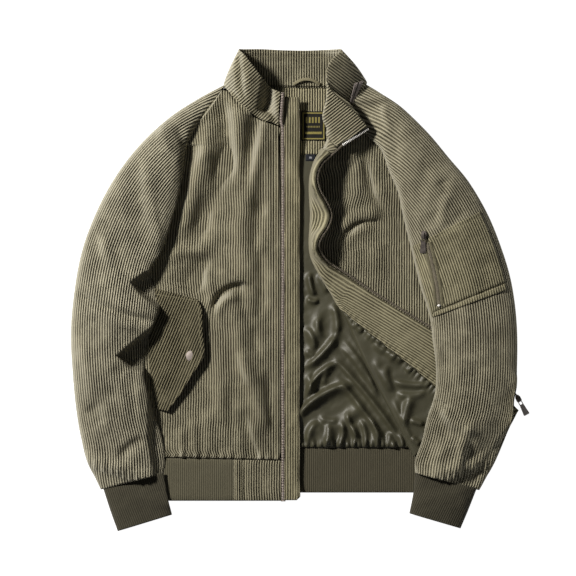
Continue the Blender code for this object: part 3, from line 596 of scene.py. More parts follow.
# %% [markdown]
# ## Shapes as functions
# Each piece is a function from (u, v), how far across and how far along it a point is, to a place in
# millimetres. A shape function can be read again: moved out along its normal for a facing, cut to a part for
# a patch, or asked for the height under a stitch.

# %% Working with shapes


def across(table, u, v):
    """Point u of the way between the two edges that a table gives at v."""
    row = flow(table, v)
    return row[:, 0] + (row[:, 2] - row[:, 0]) * u, row[:, 1] + (row[:, 3] - row[:, 1]) * u


def proud(shape, height):
    """The same shape moved out along its normal by height."""
    step = 1e-3

    def moved(u, v):
        along_u = shape(u + step, v) - shape(u - step, v)
        along_v = shape(u, v + step) - shape(u, v - step)
        normal = np.cross(along_u, along_v)
        length = np.linalg.norm(normal, axis=1, keepdims=True)
        return shape(u, v) + normal / np.maximum(length, 1e-9) * height

    return moved


def part_of(shape, u_range, v_range):
    """The stretch of a shape between two u and two v, as a shape of its own."""
    return lambda u, v: shape(between(u_range, u), between(v_range, v))


def reshaped(shape, change):
    """The same shape after change(place, u, v) has moved its points."""

    def moved(u, v):
        place = shape(u, v).copy()
        change(place, u, v)
        return place

    return moved


def raised(shape, lift, tube_sides=False):
    """The same shape with its height changed by lift(x, y). On a tube only the upper side moves."""

    def change(place, u, v):
        place[:, 2] += lift(place[:, 0], place[:, 1]) * (upper_side(u) if tube_sides else 1.0)

    return reshaped(shape, change)


def upper_side(u):
    """1 on top of a tube, falling to 0 at its two edges and under it."""
    return np.sqrt(np.clip(np.sin(math.tau * u), 0, 1))


def by_rows(shape, table):
    """The same shape with its columns spread evenly over the table's rows, so that sharp turns get more."""
    keys = [row[0] for row in table]
    return lambda u, v: shape(np.interp(u, np.linspace(0, 1, len(keys)), keys), v)


print("shape helpers ready")

# %% Heights of the lying cloth


def right_front_top(x, y):
    side = flow(RIGHT_SIDE, y)[:, 0]
    shoulder = 9 * smooth(190, 300, y)
    edge = np.where(y < 232, smooth(-2, 38, x - side), 1)
    low = LINING_TOP + SHELL + 0.7
    return low + (FRONT_TOP + shoulder + folds(FRONT_FOLDS, x, y) - low) * edge


def left_fold_x(y):
    """x of the left front's fold at a height below the chest."""
    return 69 - 0.504 * (y + 36)


def lining_top(x, y):
    shows = smooth(-4, 14, x) * smooth(26, 60, left_fold_x(y) - x)
    return LINING_TOP + folds(LINING_FOLDS, x, y) * shows


def right_floor(x, y):
    """What the right sleeve lies on: the table, or the body's edge with the pocket flap."""
    side = flow(RIGHT_SIDE, y)[:, 0]
    over = smooth(-19, -3, x - side) * smooth(239, 224, y) * smooth(-356, -341, y)
    return over * (13.4 + 4.1 * smooth(-215, -195, y))


def left_floor(x, y):
    """What the left sleeve lies on: the table, the left front, or its turned part."""
    side = flow(LEFT_SIDE, y)[:, 0]
    on_front = np.where(y < -36, smooth(-22, -7, x - left_fold_x(y)), 1)
    body = (4 + 10 * on_front) * smooth(-19, -3, side - x) * smooth(262, 243, y) * smooth(-356, -341, y)
    zip_line = 20 - 0.625 * (x - 75)
    from_hem = y + 338 - 1.25 * (x - 221)
    turned = (17.8 + 4.3 * smooth(100, 120, from_hem)) * smooth(-24, -8, zip_line - y)
    return np.maximum(body, turned * smooth(-30, -14, from_hem) * on_front)


chest_height = right_front_top(np.array([-100.0]), np.array([0.0]))[0]
print("right front lies at", round(float(chest_height), 1), "mm")

# %% Shapes of the fronts, sleeves and collar


def tube(table, floor, roundness=0.8):
    """A sleeve lying down: u runs round it, from the outer edge over the top to the inner one and back."""

    def shape(u, v):
        row = flow(table, v)
        turn = math.tau * u
        side, up = np.cos(turn), np.sin(turn)
        half = (1 - side) / 2
        dx, dy = row[:, 2] - row[:, 0], row[:, 3] - row[:, 1]
        bow = row[:, 5] * np.sin(math.pi * half) * np.sign(row[:, 0]) / np.hypot(dx, dy)
        x = row[:, 0] + dx * half + bow * dy
        y = row[:, 1] + dy * half - bow * dx
        base = floor(x, y) + smooth(0.07, 0, v)
        middle = base + 0.42 * (row[:, 4] - base)
        lift = np.where(up > 0, row[:, 4] - middle, middle - base)
        power = np.where(up > 0, roundness, 0.5)
        return points(x, y, middle + np.sign(up) * lift * np.abs(up) ** power)

    return shape


def left_side_at(v):
    """The point of the left side edge that row v of the left front runs to."""
    y = np.interp(v, *LEFT_SIDE_ROWS)
    return points(flow(LEFT_SIDE, y)[:, 0], y)


def left_layer(s, v):
    """The left front as one folded cloth: s is the distance from the fold, under zero on the turned part."""
    row = flow(LEFT_FRONT, v)
    fold, edge, side = row[:, 0:2], row[:, 2:4], left_side_at(v)
    reach = np.linalg.norm(edge - fold, axis=1)
    width = np.linalg.norm(side - fold, axis=1)
    turned_way, flat_way = (edge - fold) / reach[:, None], (side - fold) / width[:, None]
    roll = (row[:, 5] - row[:, 4]) / 2
    off = np.sqrt(s * s + roll * roll) - roll
    way = np.where(s[:, None] > 0, flat_way, turned_way)
    x, y = (fold + way * off[:, None]).T
    turn = smooth(-1.3, 1.3, s / roll)
    past = np.clip(-s / np.maximum(reach, 1), 0, 1.2)
    top = row[:, 5] + (row[:, 6] - row[:, 5]) * past * past
    low = row[:, 4] + folds(LEFT_FOLDS, x, y)
    low = low - (low - LINING_TOP - 0.5) * smooth(width - 20, width, s) * (v > 0.15)
    return points(x, y, top + (low - top) * turn)


def left_reach(v):
    """Distance from the fold to the zip edge and to the side edge."""
    row = flow(LEFT_FRONT, v)
    side = left_side_at(v)
    roll = (row[:, 5] - row[:, 4]) / 2
    to_zip = np.hypot(row[:, 2] - row[:, 0], row[:, 3] - row[:, 1]) + roll
    return to_zip, np.hypot(side[:, 0] - row[:, 0], side[:, 1] - row[:, 1]) + roll - 1


def left_band(v_range, start, end, layer=left_layer):
    """Part of the left front between two distances from the fold, each a function of v."""

    def shape(u, v):
        v = between(v_range, v)
        low, high = (np.sign(s) * np.abs(s) ** (1 / CROWD) for s in (start(v), end(v)))
        root = low + (high - low) * u
        return layer(np.sign(root) * np.abs(root) ** CROWD, v)

    return shape


def collar_shape(u, v):
    """u from the right zip round the neck to the left one, v from the neck seam to the top edge."""
    row = flow(COLLAR, u)
    base, middle, top = row[:, 0:3], row[:, 3:6], row[:, 6:9]
    f = v[:, None]
    return base * (1 - f) * (1 - 2 * f) + middle * 4 * f * (1 - f) + top * f * (2 * f - 1)


print("collar point at the left zip", collar_shape(np.array([1.0]), np.array([1.0]))[0].round(1))

# %% [markdown]
# ## Which way the wales run
# Wales follow the cloth, so the distance across them is measured along the surface, over every crease. For
# each shape a fine net of points is laid out, the steps from column to column are taken without their share
# along the wales, and the running sum is the distance. Reading that net gives the UV of any point on the
# piece.

# %% Distances across the wales


def wale_net(shape, way, rows=140, columns=260):
    """A reader of the distance across the wales from u = 0, where way gives the wales' direction at v."""
    u, v = np.meshgrid(np.linspace(0, 1, columns), np.linspace(0, 1, rows))
    net = shape(u.ravel(), v.ravel()).reshape(rows, columns, 3)
    steps = np.diff(net, axis=1)
    along = (steps[:, :, :2] * way(v[:, 0])[:, None, :]).sum(axis=2)
    widths = np.sqrt(np.maximum((steps**2).sum(axis=2) - along**2, 1e-9))
    total = np.concatenate([np.zeros((rows, 1)), np.cumsum(widths, axis=1)], axis=1)

    def read(u, v):
        a, b = np.clip(v, 0, 1) * (rows - 1), np.clip(u, 0, 1) * (columns - 1)
        i, j = np.minimum(a.astype(int), rows - 2), np.minimum(b.astype(int), columns - 2)
        f, g = a - i, b - j
        low = total[i, j] * (1 - g) + total[i, j + 1] * g
        high = total[i + 1, j] * (1 - g) + total[i + 1, j + 1] * g
        return low * (1 - f) + high * f

    return read


def upright(v):
    """Wales that run straight up the garment."""
    return np.tile((0.0, 1.0), (len(v), 1))


def lay_straight(shape, anchor=1.0, ease=0.0):
    """UV of a piece with upright wales, measured sideways from its edge at u = anchor.
    An ease of 1 would draw them straight in plan."""
    read = wale_net(shape, upright)

    def lay(u, v, place, mid):
        edge = shape(np.full_like(v, anchor), v)
        measured = edge[:, 0] + read(u, v) - read(np.full_like(v, anchor), v)
        return points(measured + ease * (place[:, 0] - measured), place[:, 1])

    return lay


def turned(place, turn):
    """UV of places in plan whose wales run at turn, in radians."""
    x, y = place.T[:2]
    return points(y * np.cos(turn) - x * np.sin(turn), x * np.cos(turn) + y * np.sin(turn))


def lay_round(shape, table, turn_at=1.0):
    """UV of a sleeve: wales follow its outer edge, and past turn_at mostly the inner one, where they run into
    the hem."""
    step = 1e-3

    def way(v):
        run = flow(table, np.minimum(v + step, 1))[:, 0:2] - flow(table, np.maximum(v - step, 0))[:, 0:2]
        return unit(run)

    read = wale_net(shape, way)
    lengths = wale_net(lambda u, v: shape(np.zeros_like(u), u), lambda v: np.zeros((len(v), 2)), rows=2)

    def lay(u, v, place, mid):
        over, half = read(u, v), np.full_like(v, 0.5)
        back = read(np.ones_like(v), v) - over
        over = over + 0.8 * (read(half, np.minimum(v, turn_at)) - read(half, v))
        return points(np.where(mid < 0.5, over, back), lengths(v, np.zeros_like(v)))

    return lay


print("wale readers ready")

# %% [markdown]
# ## Sewing a piece
# A cloth piece starts as a flat grid. Its shape function puts every point in place, doubles are merged where
# a tube closes, and the UV map is written corner by corner. Solidify then gives the wall. The solid of the
# same name is hidden, the cloth joins the jacket's body, and the longest runs of its cut each way are
# printed.

# %% A grid in the shape of the cloth
STATIONS = 161  # each way, to measure a cut
CORNERS = 4  # every cell of a grid is a quad


def grid_of(shape, columns, rows, closed=False, flip=False):
    """A bmesh of the shape, with u and v kept on its points."""
    bm = bmesh.new()
    keep = bm.verts.layers.float_vector.new("pattern")
    bmesh.ops.create_grid(bm, x_segments=columns, y_segments=rows, size=0.5)
    flat = np.array([vertex.co for vertex in bm.verts]) + 0.5
    placed = shape(flat[:, 0], flat[:, 1]) * MM
    for vertex, place, here in zip(bm.verts, placed, flat):
        vertex.co = place
        vertex[keep] = (here[0], here[1], 0)
    if closed:
        seam = [vertex for vertex in bm.verts if min(vertex[keep][0], 1 - vertex[keep][0]) < 1e-4]
        bmesh.ops.remove_doubles(bm, verts=seam, dist=0.00005)
    if flip:
        bmesh.ops.reverse_faces(bm, faces=bm.faces)
    return bm


def write_wales(mesh, lay):
    """The UV map of a meshed piece, from the pattern coordinates on its points."""
    corners = np.empty(len(mesh.loops), int)
    mesh.loops.foreach_get("vertex_index", corners)
    pattern = np.empty(len(mesh.vertices) * 3)
    mesh.attributes["pattern"].data.foreach_get("vector", pattern)
    pattern = pattern.reshape(-1, 3)[corners]
    places = np.empty(len(mesh.vertices) * 3)
    mesh.vertices.foreach_get("co", places)
    places = places.reshape(-1, 3)[corners] / MM
    owner = np.repeat(np.arange(len(mesh.polygons)), CORNERS)
    u = pattern[:, 0]
    by_cell = u.reshape(-1, CORNERS)
    spread = by_cell.max(axis=1) - by_cell.min(axis=1)
    u = np.where((spread[owner] > 0.5) & (u < 0.5), u + 1, u)
    middle = (np.bincount(owner, u) / CORNERS)[owner]
    laid = lay(np.minimum(u, 1), pattern[:, 1], places, middle) * MM
    mesh.uv_layers.new(name="cloth").data.foreach_set("uv", laid.astype(np.float32).ravel())


def sizes_of(shape):
    """The longest runs across and along a shape, and its area, in metres."""
    u, v = np.meshgrid(np.linspace(0, 1, STATIONS), np.linspace(0, 1, STATIONS))
    net = shape(u.ravel(), v.ravel()).reshape(STATIONS, STATIONS, 3) * MM
    side, up = np.diff(net, axis=1), np.diff(net, axis=0)
    wide = np.linalg.norm(side, axis=2).sum(axis=1).max()
    long = np.linalg.norm(up, axis=2).sum(axis=0).max()
    area = np.linalg.norm(np.cross(side[:-1], up[:, :-1]), axis=2).sum()
    return float(wide), float(long), float(area)


def in_scene(name, bm, cloth):
    """The bmesh as a smooth object in the scene."""
    mesh = bpy.data.meshes.new(name)
    bm.to_mesh(mesh)
    bm.free()
    mesh.shade_smooth()
    mesh.materials.append(cloth)
    piece = bpy.data.objects.new(name, mesh)
    bpy.context.scene.collection.objects.link(piece)
    return piece


def sew(
    name, shape, cells, wall, cloth, lay, slot, lies_on, inward=True, closed=False, flip=False, held="laid"
):
    """A finished cloth piece standing for the solid of the same name."""
    piece = in_scene(f"{name}_cloth", grid_of(shape, *cells, closed, flip), cloth)
    write_wales(piece.data, lay)
    solidify = piece.modifiers.new("wall", "SOLIDIFY")
    solidify.thickness = wall * MM
    solidify.offset = -1 if inward else 1
    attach(piece, "jacket")
    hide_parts(name)
    wide, long, area = sizes_of(shape)
    print(f"{name}: {len(piece.data.polygons)} cells, cut {wide * 1000:.0f} x {long * 1000:.0f} mm")


print("sewing ready")

# %% [markdown]
# ## Back panel, lining, yoke and back rib
# The back lies flat on the floor with its lining up. The lining is cut looser than the shell, so it lies in
# sharp, glossy wrinkles and stands in small puffs where it is gathered into the rib. The yoke above it is
# corduroy. Every wrinkle is listed one by one: ridges catch the light and the troughs beside them go nearly
# black.

# %% Wrinkles of the lining
LINING_CREASES = (
    (10, -122, 58, -70, 3, 6, 9, 0.3), (52, -24, 58, -70, -3, 6, 6, 0), (8, -172, 56, -116, -9, 5, 8.5, 0.3),
    (-8, -206, 72, -150, -10, 6, 9, 0.3), (56, -112, 156, -236, -4, 4.5, 7, -0.2),
    (72, -84, 122, -166, -4, 5, 6.5, 0.2), (62, -144, 136, -246, -3, 5, 7, 0.2),
    (84, -78, 186, -262, -6, 5, 7, 0.2), (66, -92, 104, -142, -3, 3.5, 4.5, 0),
    (14, 26, 22, -8, 2, 4, 7, 0.2), (30, 26, 44, -2, 0, 4.5, 6, 0.2), (10, -12, 28, -16, 3, 4, 6, 0.2),
    (8, -60, 22, -96, -4, 6, 5, 0.2), (28, -44, 34, -76, 3, 5, 4, 0), (8, -96, 22, -104, 2, 5, 4, 0),
    (14, -134, 22, -166, 3, 5, 5, 0.2), (12, -244, 24, -210, -4, 6, 7, 0.2),
    (40, -248, 44, -214, 3, 6, 6, 0.2), (62, -250, 66, -212, 3, 5, 6.5, 0.2),
    (86, -250, 82, -216, 3, 4.5, 5, 0.2), (104, -250, 96, -208, 3, 4.5, 6, 0.2),
    (122, -250, 112, -204, 3, 4, 5, 0.2), (74, -196, 92, -236, 3, 4, 5, 0), (30, -204, 58, -208, 3, 5, 4, 0),
    (142, -228, 150, -254, 2, 5, 5, 0), (160, -226, 170, -254, 2, 5, 5, 0), (46, -128, 36, -150, 2, 5, 4, 0),
)


def lining_rise(x, y):
    shows = smooth(-10, 4, x) * smooth(-4, 12, left_fold_x(y) - x)
    low = 1.2 * creases(LINING_CREASES, x, y) + 0.8 * rumple(x, y, 38, 2.0) + 0.4 * rumple(x, y, 17, 5.0)
    gathers = puckers(x, y + 251, 10.0, 10.0, 6.0)
    return np.maximum((low + gathers) * (0.12 + 0.88 * shows), -1.2)


print("lining wrinkles:", len(LINING_CREASES))

# %% The four back pieces


def body_x(u, y, right_more, left_more):
    """x at u across the back, whose two side edges are moved by so much."""
    return between((flow(RIGHT_SIDE, y)[:, 0] + right_more, flow(LEFT_SIDE, y)[:, 0] + left_more), u)


def back_shape(u, v):
    y = BACK_RIB_TOP - 1.5 + (NECK_BACK + 6 - BACK_RIB_TOP) * v
    tucked = 16 * smooth(190, 230, y) * smooth(326, 302, y)  # seam allowance under the sleeve heads
    return points(body_x(u, y, 3 - tucked, tucked - 3), y, BACK_TOP)


def lining_shape(u, v):
    y = BACK_RIB_TOP - 1.2 + (YOKE_EDGE - BACK_RIB_TOP + 0.6) * v
    x = body_x(u, y, 6, -6)
    return points(x, y, lining_top(x, y))


def yoke_shape(u, v):
    y = YOKE_EDGE + (NECK_BACK + 5 - YOKE_EDGE) * v
    x = body_x(u, y, 22, -8)
    return points(x, y, LINING_TOP + 0.4 + 0.3 * rumple(x, y, 60, 1.0) - 0.8 * smooth(322, 327, y))


def back_rib_shape(u, v):
    x, y = -248 + 436 * u, BACK_RIB_EDGE + (BACK_RIB_TOP - BACK_RIB_EDGE) * v
    rounded = -0.8 * (smooth(0.08, 0, v) + smooth(0.94, 1, v))
    return points(x, y, RIB + rounded + 0.35 * rumple(x, y, 52, 3.0))


lay = lay_straight(back_shape)
sew("back_body", back_shape, (40, 50), SHELL, cord_front, lay, "corduroy", ["floor"])
wrinkled = raised(lining_shape, lining_rise)
lay = lay_straight(lining_shape)
sew("back_lining", wrinkled, (212, 196), LINING, satin, lay, "satin_lining", ["back_body_cloth"])
lay = lay_straight(yoke_shape)
yoke_wall = LINING + 0.4
# The yoke's corduroy is the paler copy: painted light.
sew("back_neck_facing", yoke_shape, (120, 40), yoke_wall, cord_yoke_lit, lay, "corduroy", ["back_body_cloth"])
lay = lay_straight(back_rib_shape)
sew("back_hem_rib", back_rib_shape, (160, 30), RIB, rib_back, lay, "rib_knit", ["floor"])

# %% [markdown]
# ## Right front, fly and hem
# The right front lies over the lining with soft vertical folds: the cloth hangs between shoulder and hem
# even when it lies down. Its lower edge is gathered a little into the rib. Hem block and fly are plain
# corduroy strips.

# %% Folds of the right front
FRONT_CREASES = (
    (-127, 306, -113, 176, -3, 12.5, -8, 0.2), (-116, 226, -170, 74, -3, 15, -8.5, 0.1),
    (-146, 262, -188, 92, -2, 11, 4.5, 0), (-103, 312, -92, 150, -2, 12, 4, 0),
    (-64, 304, -88, 158, 3, 12, -7.5, 0.1), (-56, 270, -82, 142, 2, 9, 3.5, 0),
    (-92, 160, -86, 20, 3, 17, 3.5, 0), (-62, 146, -74, 62, 1, 10, -4.5, 0.1),
    (-64, 64, -62, -34, -2, 9.5, -6, 0.1), (-143, -30, -86, 10, -12, 7, -8.5, 0.35),
    (-134, -40, -96, -8, -10, 8, 3.5, 0), (-97, 8, -84, -46, 4, 8, -3.8, 0),
    (-92, -46, -62, -34, 4, 8, -2.2, 0), (-148, 54, -172, -4, 0, 16, -7, 0.4),
    (-206, 58, -148, 62, -3, 9, 3.5, 0), (-152, 40, -144, -34, -3, 9, 4, 0),
    (-100, -56, -80, -146, 3, 11, 5, 0), (-80, -124, -58, -232, -4, 13, 4.5, 0),
    (-92, -198, -70, -278, 2, 9, -5.5, 0.1), (-50, -130, -42, -222, 2, 8, -3.5, 0),
    (-128, -100, -122, -190, 3, 12, 2.5, 0), (-112, -160, -104, -236, 3, 9, -3, 0),
    (-150, -196, -142, -262, 2, 9, 3, 0), (-172, -206, -168, -270, 0, 7, 3, 0),
    (-52, 240, -46, 60, 2, 7, 2.2, 0), (-74, -60, -66, -110, 2, 7, -2.5, 0),
    (-190, -222, -188, -272, 0, 6, 2.6, 0),
)


def hem_seam_y(x):
    """y of the seam between the right front and its rib."""
    return -267.6 - (x + 250) * 5 / 217


def front_rise(x, y):
    above = y - hem_seam_y(x)
    calm = 0.2 + 0.8 * smooth(-36, -52, x)
    low = 1.45 * creases(FRONT_CREASES, x, y) + rumple(x, y, 74, 1.0) + 0.5 * rumple(x, y, 27, 4.0)
    return low * calm + puckers(x, above, 14.0, 11.0, 4.0) - 2.4 * bell(above / 2.2)


def right_top(x, y):
    """The creased front: it stands a little off the lining, except under the flap and at its edges."""
    shoulder = 5 * smooth(250, 286, y) * smooth(-34, -70, x)
    side = flow(RIGHT_SIDE, y)[:, 0]
    clear_of_flap = np.maximum(smooth(10, 60, y), smooth(-152, -126, x))
    clear_of_edges = smooth(-46, -86, x) * smooth(-264, -225, y) * smooth(8, 44, x - side)
    off = 4 * clear_of_flap * clear_of_edges * (1 - 0.5 * smooth(240, 280, y))
    return np.maximum(right_front_top(x, y) + front_rise(x, y) + shoulder + off, ON_LINING)


def front_shape(u, v):
    """The right front, with seam allowances that go in under the sleeve and the collar."""
    tuck = 0.06 * smooth(0.78, 0.87, v) + 0.016 * smooth(0.1, 0.2, v) * smooth(0.5, 0.42, v)
    u = u * (1 + tuck) - tuck
    x, y = across(RIGHT_FRONT, u, v)
    neck = 8 * smooth(278, 286, y) * smooth(338, 326, y) * smooth(0.75, 1, u)
    return points(x + neck, y, right_top(x, y) - 3 * smooth(0.0, -0.045, u) - 3.5 * smooth(2, 6, neck))


lay = lay_straight(front_shape, ease=0.7)
sew("right_front", front_shape, (100, 230), SHELL, cord_front, lay, "corduroy", ["back_lining_cloth"])

# %% Hem rib, hem block and fly
BLOCK_CREASES = (
    (-92, -262, -86, -346, 2, 5, -4, 0.1), (-100, -262, -98, -346, 0, 6, 2.5, 0),
    (-66, -266, -58, -330, 3, 7, -2, 0),
)


def hem_shape(x_range, waves):
    """A strip under the right front's hem seam, rounded at its borders, with waves so many times as high."""

    def shape(u, v):
        x = between(x_range, u)
        y = between((HEM_EDGE, hem_seam_y(x)), v)
        rounded = 1.3 * (smooth(0.1, 0, v) + smooth(0.9, 1, v)) + smooth(0.03, 0, u) + smooth(0.97, 1, u)
        uneven = rumple(x, y, 42, 6.0) + creases(BLOCK_CREASES, x, y)
        return points(x, y, right_front_top(x, y) - rounded + waves * uneven)

    return shape


def fly_shape(u, v):
    x, y = between((ZIP_X + 3, FLY_EDGE), u), between((HEM_EDGE + 1, FLY_TOP), v)
    x = x + u * (1.1 * rumple(5, y, 90, 2.0) - 1.2)
    x = x - 6 * u * smooth(0.012, 0, v) ** 2
    turned = -1.2 * smooth(0.88, 1, u) - 1.2 * smooth(0.1, 0, u)
    return points(x, y, right_front_top(x, y) + turned + 0.6 * rumple(x * 2, y, 40, 2.5))


rib_shape, block_shape = hem_shape((-249, -106.4), 0.3), hem_shape((-107.4, -30.6), 0.8)
lay = lay_straight(rib_shape)
sew("right_hem_rib", rib_shape, (60, 26), RIB, rib_hem, lay, "rib_knit", ["back_hem_rib_cloth"])
lay = lay_straight(block_shape, anchor=0.0)
sew("right_hem_block", block_shape, (34, 26), RIB, cord_front, lay, "corduroy", ["back_hem_rib_cloth"])
lay = lay_straight(fly_shape, anchor=0.0)
sew("right_fly", fly_shape, (16, 230), SHELL, cord_pale, lay, "corduroy", ["back_lining_cloth"])

# %% [markdown]
# ## Pocket flap
# The flap is two layers of corduroy cut on a slant, so its wales lean. Its upper edge is stitched down and
# its pointed side stands off the front, which draws a soft shadow beside it.

# %% The flap's shape
FLAP_CREASES = ((-232, -60, -176, -88, 3, 10, -1.5, 0), (-236, -150, -196, -120, 2, 12, 1.6, 0))
FLAP_WALES = math.radians(67)


def flap_top(x, y):
    free = smooth(-206, -150, x - 0.25 * (y + 100) * (y < -100))
    stands = 5.5 * smooth(-198, -156, x - 0.5 * (y + 110) * (y < -110)) * smooth(-14, -44, y)
    low = 1.5 * smooth(-110, -190, y)
    return right_front_top(x, y) + SHELL + GAP + 0.8 + 3 * free + 2.5 * free * free + low + stands


def flap_shape(u, v):
    x, y = across(POCKET_FLAP, u, v)
    return points(x, y, flap_top(x, y))


def flap_rise(x, y):
    dip = -1.3 * bell(np.hypot(x - SNAP[0], y - SNAP[1]) / 15)
    return dip + 0.5 * rumple(x, y, 38, 3.0) + creases(FLAP_CREASES, x, y)


def lay_flap(u, v, place, mid):
    return turned(place, FLAP_WALES)


flap_cloth = raised(flap_shape, flap_rise)
# The flap's corduroy is the darker copy: painted shade from the sleeve.
sew("pocket_flap", flap_cloth, (46, 90), SHELL, cord_flap_shade, lay_flap, "corduroy", ["right_front_cloth"])

# %% [markdown]
# ## Sleeves
# A sleeve is a tube that has collapsed on the floor: round on its outer edge, folded in at the inner one. On
# the right sleeve the elbow's fold makes two open notches, where the cloth turns in and goes dark, and a
# long strip of the under side shows beside the main fold. Those notches are hollows: corners of a patch, how
# deep it lies, and how soft its border is. The wales run parallel to the outer edge and are cut off by the
# inner one.

# %% Hollows
RIGHT_HEM_X, LEFT_HEM_X = -268, 234  # middles of the sleeves' hems
SLEEVE_CELLS = (126, 214)


def hollows(table, x, y):
    """Sunk patches: depth, softness of the border, then the corners, counter-clockwise."""
    total = np.zeros_like(x)
    for depth, soft, corners in table:
        inside = np.full_like(x, 1e9)
        for (x0, y0), (x1, y1) in zip(corners, corners[1:] + corners[:1]):
            side = ((x1 - x0) * (y - y0) - (y1 - y0) * (x - x0)) / math.hypot(x1 - x0, y1 - y0)
            inside = np.minimum(inside, side)
        total = np.minimum(total, -depth * smooth(-soft * 0.3, soft, inside))
    return total


RIGHT_NOTCHES = (
    (0.8, 8, ((-271, 12), (-258, -6), (-218, -36), (-220, 34), (-250, 28))),
    (1, 6, ((-234, 30), (-218, -36), (-190, 0), (-196, 60), (-214, 62))),
    (0.85, 6, ((-296, -103), (-272, -126), (-246, -128),
              (-200, -116), (-200, -40), (-224, -46), (-262, -78))),
    (0.5, 11, ((-260, -120), (-254, -190), (-245, -240), (-247, -320), (-200, -320), (-200, -112))),
)
RIGHT_HOLLOWS = ((4, 12, ((-232, 56), (-200, 60), (-176, 216), (-190, 236))),)
RIGHT_CREASES = (
    (-266, 214, -246, 66, 5, 15, -6.5, 0.2), (-244, 206, -228, 74, 3, 10, 4, 0),
    (-318, 88, -286, 22, 4, 10, 4.5, 0), (-352, -6, -228, -50, 8, 7, -9.5, 0.2),
    (-340, -22, -246, -60, 6, 10, 3.5, 0), (-292, 92, -288, 30, 3, 12, -4, 0),
    (-332, 96, -324, 10, -4, 10, -3.5, 0), (-222, 262, -206, 218, 3, 10, 4, 0),
    (-216, 282, -170, 300, -3, 9, -3, 0), (-352, -80, -330, -180, -2, 11, 4.5, 0),
    (-336, -186, -320, -214, 0, 13, -5, 0), (-298, -124, -282, -134, 0, 8, -4, 0),
    (-290, -268, -248, -236, -5, 8, -6.5, 0.2), (-296, -300, -256, -262, -5, 10, 2.5, 0),
    (-318, -140, -306, -220, 3, 9, 2.5, 0), (-286, -140, -276, -206, 3, 9, 3.5, 0),
    (-262, -134, -256, -214, 0, 6, 3, -0.3), (-300, -30, -306, -90, -3, 12, 2.5, 0),
    (-196, 262, -184, 226, 0, 8, -7, 0), (-276, 0, -330, 20, 4, 9, 3, 0),
    (-320, -230, -300, -280, 2, 9, -3, 0), (-236, 150, -226, 90, 2, 6, 2.5, 0),
    (-280, -60, -262, -46, 2, 7, 2.5, 0),
)


def above_hem(x, y, middle):
    """Distance up a sleeve from its slanting hem, whose middle is at x = middle."""
    return (y + 303) * 0.96 - np.sign(middle) * (x - middle) * 0.26


def hem_gathers(x, y, middle):
    """The puff over a cuff, and the short gathers in it."""
    above = above_hem(x, y, middle)
    return 6 * bell((above - 13) / 12) + puckers(x, above, 11.0, 18.0, 4.0)


def right_rise(x, y):
    low = creases(RIGHT_CREASES, x, y) + 1.3 * rumple(x, y, 62, 2.0) + 0.5 * rumple(x, y, 25, 1.0)
    return low + hem_gathers(x, y, RIGHT_HEM_X) + hollows(RIGHT_HOLLOWS, x, y)


right_tube = raised(tube(RIGHT_SLEEVE, right_floor), right_rise, tube_sides=True)


def level(x, y):
    return np.zeros_like(x)


def over_cuff(place, v, lean):
    """Draw the sleeve's last rows down over the cuff, so that no gap shows between them."""
    place[:, :2] -= 3.0 * smooth(0.97, 1, v)[:, None] * np.array((lean, 0.96))


def shape_right(place, u, v):
    """Press the sleeve flat in its notches, and ease it into the shoulder at its head."""
    x, y, z = place.T
    upper = upper_side(u)
    ground = 1.2 + 0.5 * SHELL * upper**2
    pressed = -0.9 * hollows(RIGHT_NOTCHES, x, y)
    over = upper * smooth(0.2, 0.45, u)
    head, end = smooth(0.19, 0.1, v), smooth(0.05, 0, v)
    place[:, 0] += 4 * head * over + 5 * end
    place[:, 1] += 2 * end
    place[:, 2] = z + (ground - z) * pressed - 10 * head * over
    over_cuff(place, v, 0.26)


right_sleeve_shape = reshaped(right_tube, shape_right)
lay = lay_round(tube(RIGHT_SLEEVE, level), RIGHT_SLEEVE, 0.86)
# The right sleeve wears the lit copy of the corduroy: painted light and shade.
sew(
    "right_sleeve", right_sleeve_shape, SLEEVE_CELLS, SHELL, cord_sleeve_lit, lay, "corduroy",
    ["floor", "right_front_cloth"], closed=True, flip=True,
)

# %% The left sleeve
LEFT_HOLLOWS = (
    (5, 30, ((310, -150), (272, -256), (250, -300), (300, -350), (380, -260), (372, -140))),
    (7, 14, ((268, -244), (234, -330), (276, -345), (298, -290), (296, -254))),
)
LEFT_CREASES = (
    (362, -60, 316, -306, -6, 44, -14, 0), (206, -166, 236, -186, 2, 5, -7, 0.2),
    (222, -182, 284, -228, 7, 8, 6, 0.2), (280, -206, 254, -284, 7, 8, 5, 0),
    (214, -190, 238, -236, 3, 11, -6, 0), (210, -222, 204, -276, 2, 9, -4, 0),
    (206, -156, 216, -178, 0, 7, 4, 0), (300, -262, 266, -312, -4, 8, -4, 0.1),
    (286, -112, 272, -160, 0, 13, -4, 0), (248, -128, 262, -172, 2, 9, 3, 0),
    (84, 302, 144, 309, 2, 4.5, 4.5, 0.2), (86, 292, 132, 296, 2, 6, -3.5, 0),
    (134, 298, 146, 264, 3, 5, 4, 0), (156, 270, 160, 206, 2, 8, -3, 0),
    (206, 206, 188, 150, 0, 12, -3.5, 0), (240, 166, 222, 98, 3, 9, 4, 0),
    (226, 176, 234, 150, 0, 9, -4.5, 0), (214, 130, 232, 92, 2, 9, -4, 0),
    (262, 128, 234, 96, 0, 8, -2.5, 0), (186, 116, 206, 40, 2, 7, 2.5, 0), (292, 60, 300, -20, 2, 12, -2, 0),
    (222, -44, 262, -60, 2, 9, -2.5, 0), (212, -60, 224, -108, 2, 7, 3, 0),
    (300, -40, 306, -90, 2, 12, -3, 0), (228, -246, 220, -292, 2, 8, 3, 0),
    (230, -90, 236, -126, 2, 9, -3, 0), (318, -60, 322, -140, 2, 10, -3, 0),
    (262, -20, 268, -80, 2, 12, 2.5, 0),
)


